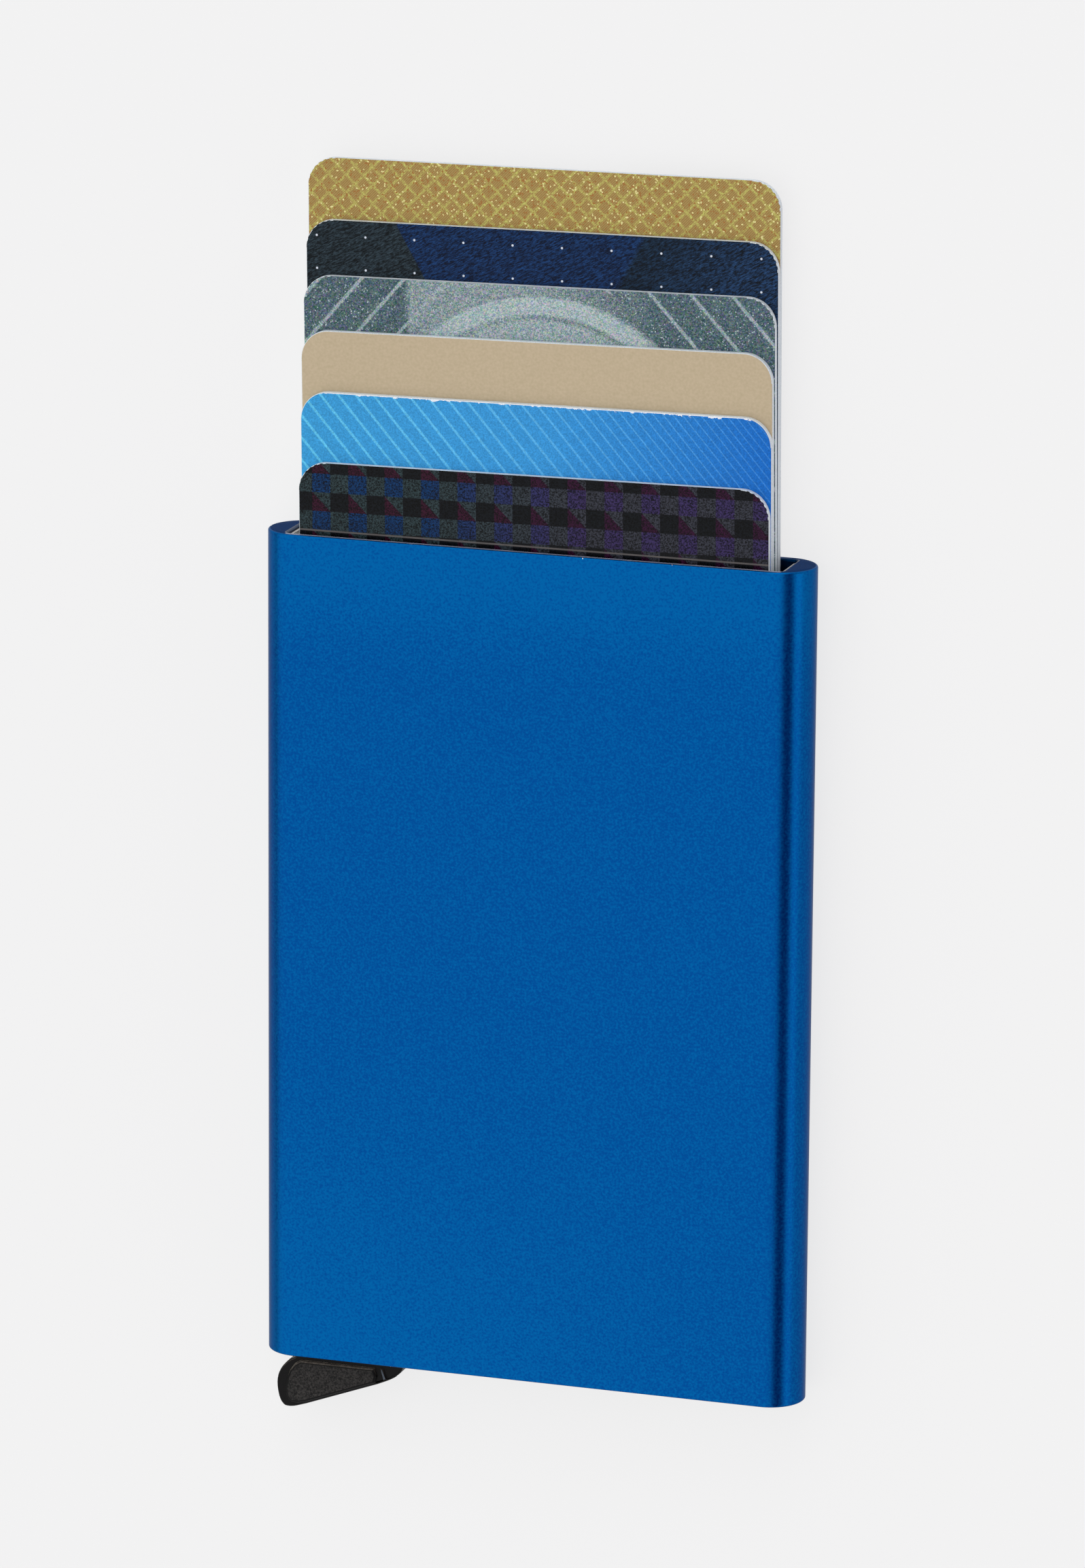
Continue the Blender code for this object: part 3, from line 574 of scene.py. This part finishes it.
column = node(tree, "ShaderNodeMath", {0: x, 1: dots_right}, operation="ADD")
column = node(tree, "ShaderNodeMath", {0: column, 1: dot_across / 2}, operation="PINGPONG")
spot = node(tree, "ShaderNodeCombineXYZ", {"X": column, "Y": row})
spot = node(tree, "ShaderNodeVectorMath", {0: spot}, operation="LENGTH")
dot = node(tree, "ShaderNodeMapRange",
           {"Value": spot, "From Min": dot_radius * 0.7, "From Max": dot_radius * 1.3,
            "To Min": 1.0, "To Max": 0.0})
starry = node(tree, "ShaderNodeMix", {"Factor": dot, 6: cloth, 7: "#D2DAE4"}, data_type="RGBA")
feed(shader, {"Base Color": starry})

# Third card, grey green: coarse glitter ink with one broad pale ring round a pale disc, thin pale lines
# that slant in from both sides, and a pale haze over the middle that ends sharply on the left
glitter_size, glint_from = 0.12, 0.97
ring_middle, ring_radius, ring_half, ring_clear = (0.4, 21.9, 0.0), 18.8, 1.0, 3.2
bar_pitch, bar_slope, bar_middle, bar_start = 4.75, 0.9, 1.1, -50.2
haze_share = 0.5
glitter_print, tree, shader, local, x, y = card_print("glitter_ink_print", 0.4)
sparks = node(tree, "ShaderNodeTexVoronoi", {"Vector": local, "Scale": 1 / glitter_size})
spark = node(tree, "ShaderNodeSeparateColor", {"Color": sparks.outputs["Color"]}).outputs
from_ring = node(tree, "ShaderNodeVectorMath", {0: local, 1: ring_middle}, operation="SUBTRACT")
from_ring = node(tree, "ShaderNodeVectorMath", {0: from_ring}, operation="LENGTH")
ring = node(tree, "ShaderNodeMath", {0: from_ring, 1: ring_radius}, operation="SUBTRACT")
ring = node(tree, "ShaderNodeMath", {0: ring}, operation="ABSOLUTE")
ring = node(tree, "ShaderNodeMapRange",
            {"Value": ring, "From Min": ring_half - 0.2, "From Max": ring_half + 0.5,
             "To Min": 0.9, "To Max": 0.0})
disc = node(tree, "ShaderNodeMapRange",
            {"Value": from_ring, "From Min": 17.0, "From Max": 18.0, "To Min": 0.7, "To Max": 0.0})
outside = node(tree, "ShaderNodeMath", {0: from_ring, 1: ring_radius + ring_clear}, operation="GREATER_THAN")
bars = node(tree, "ShaderNodeMath", {0: x, 1: bar_middle}, operation="SUBTRACT")
bars = node(tree, "ShaderNodeMath", {0: bars}, operation="ABSOLUTE")
bars = node(tree, "ShaderNodeMath", {0: y, 1: bar_slope, 2: bars}, operation="MULTIPLY_ADD")
bars = node(tree, "ShaderNodeMath", {0: bars, 1: bar_start % bar_pitch}, operation="ADD")
bars = node(tree, "ShaderNodeMath", {0: bars, 1: bar_pitch / 2}, operation="PINGPONG")
bars = node(tree, "ShaderNodeMapRange",
            {"Value": bars, "From Min": 0.16, "From Max": 0.34, "To Min": 0.7, "To Max": 0.0})
bars = node(tree, "ShaderNodeMath", {0: bars, 1: outside}, operation="MULTIPLY")
haze_left = node(tree, "ShaderNodeMapRange",
                 {"Value": x, "From Min": -15.2, "From Max": -14.6, "To Min": 0.0, "To Max": haze_share})
haze_right = node(tree, "ShaderNodeMapRange",
                  {"Value": x, "From Min": 0.0, "From Max": 14.0, "To Min": haze_share, "To Max": 0.0})
haze = node(tree, "ShaderNodeMath", {0: haze_left, 1: haze_right}, operation="MINIMUM")
pale = ring
for more in (bars, disc, haze):
    pale = node(tree, "ShaderNodeMath", {0: pale, 1: more}, operation="MAXIMUM")
ink = node(tree, "ShaderNodeMix", {"Factor": pale, 6: "#50686F", 7: "#A3B6B7"}, data_type="RGBA")
tint = node(tree, "ShaderNodeMix", {"Factor": 0.5, 6: ink, 7: sparks.outputs["Color"]},
            data_type="RGBA", blend_type="SOFT_LIGHT")
rough_tone = node(tree, "ShaderNodeMapRange", {"Value": spark["Red"], "To Min": 0.42, "To Max": 1.42})
calm_tone = node(tree, "ShaderNodeMapRange", {"Value": spark["Red"], "To Min": 0.74, "To Max": 1.26})
tone = node(tree, "ShaderNodeMix", {"Factor": pale, "A": rough_tone, "B": calm_tone}, data_type="FLOAT")
shine = node(tree, "ShaderNodeVectorMath", {0: tint, "Scale": tone}, operation="SCALE")
glint = node(tree, "ShaderNodeMath", {0: spark["Green"], 1: glint_from}, operation="GREATER_THAN")
shine = node(tree, "ShaderNodeMix", {"Factor": glint, 6: shine, 7: "#AEBDBD"}, data_type="RGBA")
feed(shader, {"Base Color": shine})

# Fourth card, plain sand colour with a fine even tooth
sand_tooth = 0.3
sand_print, tree, shader, local, _, _ = card_print("sand_matt_print", 0.5)
tooth = node(tree, "ShaderNodeTexNoise", {"Vector": local, "Scale": 1 / sand_tooth, "Detail": 3.0})
sand = node(tree, "ShaderNodeMix", {"Factor": tooth, 6: "#AE9E81", 7: "#C5B598"}, data_type="RGBA")
feed(shader, {"Base Color": sand})

# Fifth card, sky blue running to royal blue with slanting cyan lines that crowd together to the right,
# its print flaked off in places along the top edge
pinstripe_pitch, pinstripe_slope, pinstripe_start = 2.15, 0.857, 11.76
crowding, crowd_from = 0.0105, 20.9
wobble_size, wobble_reach, dust_size, flake_size = 0.25, 0.06, 0.16, 0.8
blue_from, blue_to, blue_turn = -27.0, 27.0, 0.52
sky_print, tree, shader, local, x, y = card_print("sky_gradient_print", 0.35)
run = node(tree, "ShaderNodeMapRange", {"Value": x, "From Min": blue_from, "From Max": blue_to})
fade = node(tree, "ShaderNodeValToRGB", {"Fac": run})
fade.color_ramp.elements[0].color = linear("#3796CD")
fade.color_ramp.elements[1].color = linear("#1265BC")
middle = fade.color_ramp.elements.new(blue_turn)
middle.color = linear("#3590CE")
slant = node(tree, "ShaderNodeMath", {0: y, 1: pinstripe_slope, 2: x}, operation="MULTIPLY_ADD")
slant = node(tree, "ShaderNodeMath", {0: slant, 1: pinstripe_start}, operation="SUBTRACT")
crowd = node(tree, "ShaderNodeMath", {0: slant, 1: crowd_from}, operation="SUBTRACT")
crowd = node(tree, "ShaderNodeMath", {0: crowd, 1: 0.0}, operation="MAXIMUM")
crowd = node(tree, "ShaderNodeMath", {0: crowd, 1: 2.0}, operation="POWER")
slant = node(tree, "ShaderNodeMath", {0: slant, 1: pinstripe_pitch}, operation="DIVIDE")
slant = node(tree, "ShaderNodeMath", {0: crowd, 1: crowding, 2: slant}, operation="MULTIPLY_ADD")
slant = node(tree, "ShaderNodeMath", {0: slant, 1: 0.5}, operation="PINGPONG")
wobble = node(tree, "ShaderNodeTexNoise", {"Vector": local, "Scale": 1 / wobble_size, "Detail": 1.0})
wobble = node(tree, "ShaderNodeMath", {0: wobble, 1: wobble_reach, 2: slant}, operation="MULTIPLY_ADD")
pin = node(tree, "ShaderNodeMapRange",
           {"Value": wobble, "From Min": 0.08, "From Max": 0.14, "To Min": 1.0, "To Max": 0.0})
weaker = node(tree, "ShaderNodeMapRange",
              {"Value": run, "From Min": 0.3, "From Max": 1.0, "To Min": 0.8, "To Max": 0.3})
pin = node(tree, "ShaderNodeMath", {0: pin, 1: weaker}, operation="MULTIPLY")
bright = node(tree, "ShaderNodeMix", {"Factor": run, 6: "#62C4E6", 7: "#5AA4E4"}, data_type="RGBA")
lined = node(tree, "ShaderNodeMix", {"Factor": pin, 6: fade, 7: bright}, data_type="RGBA")
dust = node(tree, "ShaderNodeTexNoise", {"Vector": local, "Scale": 1 / dust_size, "Detail": 2.0})
dust = node(tree, "ShaderNodeMapRange",
            {"Value": dust, "From Min": 0.3, "From Max": 0.7, "To Min": 0.78, "To Max": 1.22})
lined = node(tree, "ShaderNodeVectorMath", {0: lined, "Scale": dust}, operation="SCALE")
from_top = node(tree, "ShaderNodeMath", {0: card_length / MM / 2, 1: y}, operation="SUBTRACT")
flake = node(tree, "ShaderNodeTexNoise",
             {"Vector": local, "Scale": 1 / flake_size, "Detail": 4.0, "Roughness": 0.7})
flake = node(tree, "ShaderNodeMapRange",
             {"Value": flake, "From Min": 0.52, "From Max": 0.8, "To Min": 0.12, "To Max": 0.6})
bare = node(tree, "ShaderNodeMath", {0: from_top, 1: flake}, operation="LESS_THAN")
flaked = node(tree, "ShaderNodeMix", {"Factor": bare, 6: lined, 7: "#E4E8EC"}, data_type="RGBA")
feed(shader, {"Base Color": flaked})

# Front card, a dark patchwork check on a canvas grain under a glossy film, with a fine pale line painted
# along it where the lip of the mouth is mirrored in the film, a painted reflection. Blue and grey squares
# take turns in one row, halved and black ones in the next.
square, check_right, check_up = 2.11, 25.4, -35.28
thread_size = 0.17
hue_from, hue_to = -12.0, 6.0
lip_reflection_half, lip_reflection_lift = 0.06, 0.42
check_print, tree, shader, local, x, y = card_print("check_gloss_print", 0.14)
odd, within = [], []
for axis, offset in ((x, check_right), (y, check_up)):
    count = node(tree, "ShaderNodeMath", {0: axis, 1: offset}, operation="ADD")
    count = node(tree, "ShaderNodeMath", {0: count, 1: square}, operation="DIVIDE")
    whole = node(tree, "ShaderNodeMath", {0: count}, operation="FLOOR")
    odd.append(node(tree, "ShaderNodeMath", {0: whole, 1: 2.0}, operation="FLOORED_MODULO"))
    within.append(node(tree, "ShaderNodeMath", {0: count}, operation="FRACT"))
odd_column, odd_row = odd
corner = node(tree, "ShaderNodeMath", {0: within[0], 1: within[1]}, operation="ADD")
corner = node(tree, "ShaderNodeMath", {0: corner, 1: 1.0}, operation="GREATER_THAN")
run = node(tree, "ShaderNodeMapRange", {"Value": x, "From Min": hue_from, "From Max": hue_to})
hue = node(tree, "ShaderNodeMix", {"Factor": run, 6: "#062C54", 7: "#30264C"}, data_type="RGBA")
grey = node(tree, "ShaderNodeMix", {"Factor": run, 6: "#273538", 7: "#2E3038"}, data_type="RGBA")
maroon = node(tree, "ShaderNodeMix", {"Factor": run, 6: "#2E0C20", 7: "#2A0A26"}, data_type="RGBA")
even = node(tree, "ShaderNodeMix", {"Factor": odd_column, 6: hue, 7: grey}, data_type="RGBA")
split = node(tree, "ShaderNodeMix", {"Factor": corner, 6: maroon, 7: grey}, data_type="RGBA")
other = node(tree, "ShaderNodeMix", {"Factor": odd_column, 6: split, 7: "#0B0E12"}, data_type="RGBA")
check = node(tree, "ShaderNodeMix", {"Factor": odd_row, 6: even, 7: other}, data_type="RGBA")
threads = node(tree, "ShaderNodeTexNoise",
               {"Vector": local, "Scale": 1 / thread_size, "Detail": 1.0, "Distortion": 0.6})
threads = node(tree, "ShaderNodeMapRange",
               {"Value": threads, "From Min": 0.38, "From Max": 0.62, "To Min": 0.15, "To Max": 1.4})
check = node(tree, "ShaderNodeVectorMath", {0: check, "Scale": threads}, operation="SCALE")
centre, turn = card_place(card_count)
# Painted reflection: a pale line where the lip of the mouth is mirrored in the film
lip_reflection_y = (case_high.y - centre.y) / MM / math.cos(turn) + lip_reflection_lift
painted_light_mask = node(tree, "ShaderNodeMath", {0: x, 1: math.tan(turn), 2: y}, operation="MULTIPLY_ADD")
painted_light_mask = node(tree, "ShaderNodeMath", {0: painted_light_mask, 1: lip_reflection_y}, operation="SUBTRACT")
painted_light_mask = node(tree, "ShaderNodeMath", {0: painted_light_mask}, operation="ABSOLUTE")
painted_light_mask = node(tree, "ShaderNodeMapRange",
           {"Value": painted_light_mask, "From Min": lip_reflection_half, "From Max": lip_reflection_half * 2, "To Min": 0.8, "To Max": 0.0})
check_and_lip_reflection = node(tree, "ShaderNodeMix", {"Factor": painted_light_mask, 6: check, 7: "#686462"}, data_type="RGBA")
feed(shader, {"Base Color": check_and_lip_reflection})

# Each blank gets its pocket before its edges are rounded, and its millimetres for the prints last
prints = (gold_print, night_print, glitter_print, sand_print, sky_print, check_print)
sockets = {item.name: item.identifier for item in fan.interface.items_tree if item.in_out == "INPUT"}
for k, front in enumerate(prints, 1):
    centre, turn = card_place(k)
    mesh = bpy.data.meshes.new(f"card_{k}_laminate")
    card = bpy.data.objects.new(f"card_{k}_laminate", mesh)
    bpy.context.scene.collection.objects.link(card)
    step = card.modifiers.new("blank", "NODES")
    step.node_group = fan
    sizes = {"Width": card_width, "Length": card_length, "Corner": card_corner, "Thickness": card_thickness,
             "Centre": centre, "Turn": turn, "Back share": back_round_share}
    for label, value in {**sizes, "Front": front, "Core": white_core, "Back": card_back}.items():
        step[sockets[label]] = value
    if k in plated_cards:
        pocket = card.modifiers.new("pocket", "BOOLEAN")
        pocket.object = plate_pocket(k, centre.z + card_thickness / 2)
    round_edge = card.modifiers.new("edge", "BEVEL")
    round_edge.width = card_edge_round
    round_edge.segments = card_edge_steps
    round_edge.harden_normals = True
    round_edge.material = 0
    round_edge.limit_method = "WEIGHT"
    solid = bpy.data.meshes.new_from_object(card.evaluated_get(bpy.context.evaluated_depsgraph_get()))
    if k in plated_cards:
        bpy.data.meshes.remove(pocket.object.data)
    card.modifiers.clear()
    card.data = solid
    bpy.data.meshes.remove(mesh)
    to_card = Matrix.Rotation(-turn, 4, "Z") @ Matrix.Translation(-centre)
    printed = solid.attributes.new("card_mm", "FLOAT_VECTOR", "POINT")
    for vertex in solid.vertices:
        printed.data[vertex.index].vector = (to_card @ vertex.co) / MM
    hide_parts(f"card_{k}")
    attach(card, f"card_{k}")

# Contact plates
# Thin gold plated foil bonded into a pocket milled in the card. Narrow gaps down to the brown carrier
# cut it into four fields above, four below and a band between them. Sizes are in millimetres.
pad_gap, pad_pitch, band_half = 0.16, 2.95, 2.4
plate_grain = 0.2
for k in plated_cards:
    low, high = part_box(f"card_{k}_chip")
    _, turn = card_place(k)
    contact_gold, tree, shader, place = finish(f"gold_plated_contact_{k}")
    local = node(tree, "ShaderNodeMapping",
                 {"Vector": place, "Location": (low + high) / 2, "Rotation": (0.0, 0.0, turn),
                  "Scale": (MM, MM, MM)}, vector_type="TEXTURE")
    axes = node(tree, "ShaderNodeSeparateXYZ", {"Vector": local}).outputs
    from_band = node(tree, "ShaderNodeMath", {0: axes["Y"]}, operation="ABSOLUTE")
    in_band = node(tree, "ShaderNodeMath", {0: from_band, 1: band_half}, operation="LESS_THAN")
    from_band = node(tree, "ShaderNodeMath", {0: from_band, 1: band_half}, operation="SUBTRACT")
    from_band = node(tree, "ShaderNodeMath", {0: from_band}, operation="ABSOLUTE")
    from_gap = node(tree, "ShaderNodeMath", {0: axes["X"], 1: pad_pitch / 2}, operation="PINGPONG")
    from_gap = node(tree, "ShaderNodeMath", {0: in_band, 1: pad_pitch, 2: from_gap},
                    operation="MULTIPLY_ADD")
    from_gap = node(tree, "ShaderNodeMath", {0: from_gap, 1: from_band}, operation="MINIMUM")
    in_gap = node(tree, "ShaderNodeMath", {0: from_gap, 1: pad_gap / 2}, operation="LESS_THAN")
    brushed = node(tree, "ShaderNodeTexNoise", {"Vector": local, "Scale": 1 / plate_grain, "Detail": 2.0})
    warm = node(tree, "ShaderNodeMix", {"Factor": brushed, 6: "#C9A65A", 7: "#E2C47C"}, data_type="RGBA")
    plate = node(tree, "ShaderNodeMix", {"Factor": in_gap, 6: warm, 7: "#3A2C18"}, data_type="RGBA")
    metal = node(tree, "ShaderNodeMath", {0: 1.0, 1: in_gap}, operation="SUBTRACT")
    feed(shader, {"Base Color": plate, "Metallic": metal, "Roughness": 0.28})
    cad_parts[f"card_{k}_chip"].data.materials.clear()
    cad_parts[f"card_{k}_chip"].data.materials.append(contact_gold)

# Base, pin, spring and linings
# A black nylon base pressed into the bottom end, a turned steel pin, a spring of drawn steel wire, a
# thin grey lining tape inside the mouth and two strips of dark felt that grip the cards.
base_nylon, tree, shader, place = finish("moulded_base_nylon")
flow = node(tree, "ShaderNodeTexNoise", {"Vector": place, "Scale": 1 / nylon_flow, "Detail": 4.0})
soot = node(tree, "ShaderNodeMix", {"Factor": flow, 6: "#131314", 7: "#232221"}, data_type="RGBA")
ripple = node(tree, "ShaderNodeBump", {"Height": flow, "Strength": 0.2, "Distance": 0.02 * MM})
feed(shader, {"Base Color": soot, "Normal": ripple, "Roughness": 0.45, "Specular IOR Level": 0.35})

# Turned steel is bright with fine marks, the tape pale and fibrous, and the felt dark with a coarse nap
turning_mark, tape_fibre, felt_fibre = 0.1 * MM, 0.3 * MM, 0.15 * MM
pin_steel, tree, shader, place = finish("turned_steel")
turned = node(tree, "ShaderNodeTexNoise", {"Vector": place, "Scale": 1 / turning_mark, "Detail": 2.0})
grey = node(tree, "ShaderNodeMix", {"Factor": turned, 6: "#A9ACB0", 7: "#C4C7CA"}, data_type="RGBA")
feed(shader, {"Base Color": grey, "Metallic": 1.0, "Roughness": 0.3})

lining_tape, tree, shader, place = finish("grey_lining_tape")
fibre = node(tree, "ShaderNodeTexNoise", {"Vector": place, "Scale": 1 / tape_fibre, "Detail": 3.0})
grey = node(tree, "ShaderNodeMix", {"Factor": fibre, 6: "#A9A6A2", 7: "#C7C4C0"}, data_type="RGBA")
feed(shader, {"Base Color": grey, "Roughness": 0.7})

dark_felt, tree, shader, place = finish("dark_felt")
fibre = node(tree, "ShaderNodeTexNoise", {"Vector": place, "Scale": 1 / felt_fibre, "Detail": 4.0})
grey = node(tree, "ShaderNodeMix", {"Factor": fibre, 6: "#26282C", 7: "#43464C"}, data_type="RGBA")
feed(shader, {"Base Color": grey, "Roughness": 0.95})

for look, names in ((base_nylon, ("base_plug",)), (pin_steel, ("pivot_pin", "return_spring")),
                    (lining_tape, ("front_liner", "side_liner_left", "side_liner_right")),
                    (dark_felt, ("friction_strip_left", "friction_strip_right"))):
    for name in names:
        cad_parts[name].data.materials.clear()
        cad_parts[name].data.materials.append(look)

# Floor and light
# A pale matt sheet under the case, and a studio of large soft boxes that lights it evenly all round:
# one overhead, one low on the right and one low behind the rim, with unlit gaps between them.
floor_half = 3.0
floor_drop = 0.02 * MM
paper_tooth = 0.5 * MM
glow_share = 0.86
sheet_bm = bmesh.new()
bmesh.ops.create_grid(sheet_bm, x_segments=1, y_segments=1, size=floor_half)
sheet_mesh = bpy.data.meshes.new("floor_sheet")
sheet_bm.to_mesh(sheet_mesh)
sheet_bm.free()
for vertex in sheet_mesh.vertices:
    vertex.co.z = case_low.z - floor_drop
floor_sheet = bpy.data.objects.new("floor_sheet", sheet_mesh)
bpy.context.scene.collection.objects.link(floor_sheet)

# The camera, metal and glass see mostly the paper's own pale grey, and a little of it still takes the
# soft shadow of the case
pale_paper, tree, shader, place = finish("pale_matt_paper")
tooth = node(tree, "ShaderNodeTexNoise", {"Vector": place, "Scale": 1 / paper_tooth, "Detail": 2.0})
paper = node(tree, "ShaderNodeMix", {"Factor": tooth, 6: "#F0F0F0", 7: "#F2F2F2"}, data_type="RGBA")
feed(shader, {"Base Color": paper, "Roughness": 1.0, "Specular IOR Level": 0.0})
ray = node(tree, "ShaderNodeLightPath").outputs
shown = ray["Is Camera Ray"]
for more in (ray["Is Glossy Ray"], ray["Is Transmission Ray"]):
    shown = node(tree, "ShaderNodeMath", {0: shown, 1: more}, operation="MAXIMUM")
shown = node(tree, "ShaderNodeMath", {0: shown, 1: glow_share}, operation="MULTIPLY")
glow = node(tree, "ShaderNodeEmission", {"Color": "#F2F2F2", "Strength": 1.0})
floor_look = node(tree, "ShaderNodeMixShader", {0: shown, 1: shader, 2: glow})
feed(tree.nodes["Material Output"], {"Surface": floor_look})
sheet_mesh.materials.append(pale_paper)

# The boxes stand along an arc from left to right, their places in degrees from straight up
studio_level = 1.22
box_light, side_light = (1.0, 1.0, 1.0), (1.25, 1.25, 1.22)
gap_light, left_light = (0.10, 0.04, 0.14), (0.20, 0.22, 0.16)
stops = ((-90, left_light), (-82, left_light), (-72, box_light), (21, box_light), (28, gap_light),
         (55, gap_light), (63, side_light), (90, side_light))
studio = bpy.data.worlds.new("studio")
bpy.context.scene.world = studio
studio.use_nodes = True
tree = studio.node_tree
way = node(tree, "ShaderNodeTexCoord").outputs["Generated"]
axes = node(tree, "ShaderNodeSeparateXYZ", {"Vector": way}).outputs
lean = node(tree, "ShaderNodeMath", {0: axes["X"], 1: axes["Z"]}, operation="ARCTAN2")
lean = node(tree, "ShaderNodeMapRange",
            {"Value": lean, "From Min": math.radians(-90), "From Max": math.radians(90)})
boxes = node(tree, "ShaderNodeValToRGB", {"Fac": lean})
while len(boxes.color_ramp.elements) < len(stops):
    boxes.color_ramp.elements.new(0.5)
for stop, (angle, colour) in zip(boxes.color_ramp.elements, stops):
    stop.position = (angle + 90) / 180
    stop.color = (*colour, 1.0)

# The box on the right is bright only beside the case and dims towards its two ends
strip_drop = 0.25
aside = node(tree, "ShaderNodeMapRange", {"Value": lean, "From Min": 0.81, "From Max": 0.85})
along = node(tree, "ShaderNodeMath", {0: axes["Y"], 1: strip_drop}, operation="ADD")
along = node(tree, "ShaderNodeMath", {0: along}, operation="ABSOLUTE")
along = node(tree, "ShaderNodeMapRange",
             {"Value": along, "From Min": 0.4, "From Max": 0.6, "To Min": 0.0, "To Max": 0.6})
dimmed = node(tree, "ShaderNodeMath", {0: aside, 1: along}, operation="MULTIPLY")
dimmed = node(tree, "ShaderNodeMath", {0: 1.0, 1: dimmed}, operation="SUBTRACT")
boxes = node(tree, "ShaderNodeVectorMath", {0: boxes, "Scale": dimmed}, operation="SCALE")

# The box behind the rim is brighter towards the right, and low down all is the floor's pale grey
high = node(tree, "ShaderNodeMapRange", {"Value": axes["Y"], "From Min": 0.74, "From Max": 0.88})
right = node(tree, "ShaderNodeMapRange",
             {"Value": axes["X"], "From Min": -0.2, "From Max": 0.05, "To Min": 0.2, "To Max": 2.6})
raised = node(tree, "ShaderNodeMapRange", {"Value": axes["Z"], "From Min": 0.2, "From Max": 0.4})
behind = node(tree, "ShaderNodeMath", {0: high, 1: right}, operation="MULTIPLY")
behind = node(tree, "ShaderNodeMath", {0: behind, 1: raised}, operation="MULTIPLY")
level = node(tree, "ShaderNodeVectorMath", {0: boxes, 1: behind}, operation="ADD")
level = node(tree, "ShaderNodeVectorMath", {0: level, "Scale": studio_level}, operation="SCALE")
above = node(tree, "ShaderNodeMapRange", {"Value": axes["Z"], "From Min": 0.05, "From Max": 0.1})
level = node(tree, "ShaderNodeMix", {"Factor": above, 6: "#F2F2F2", 7: level}, data_type="RGBA")
feed(tree.nodes["Background"], {"Color": level, "Strength": 1.0})
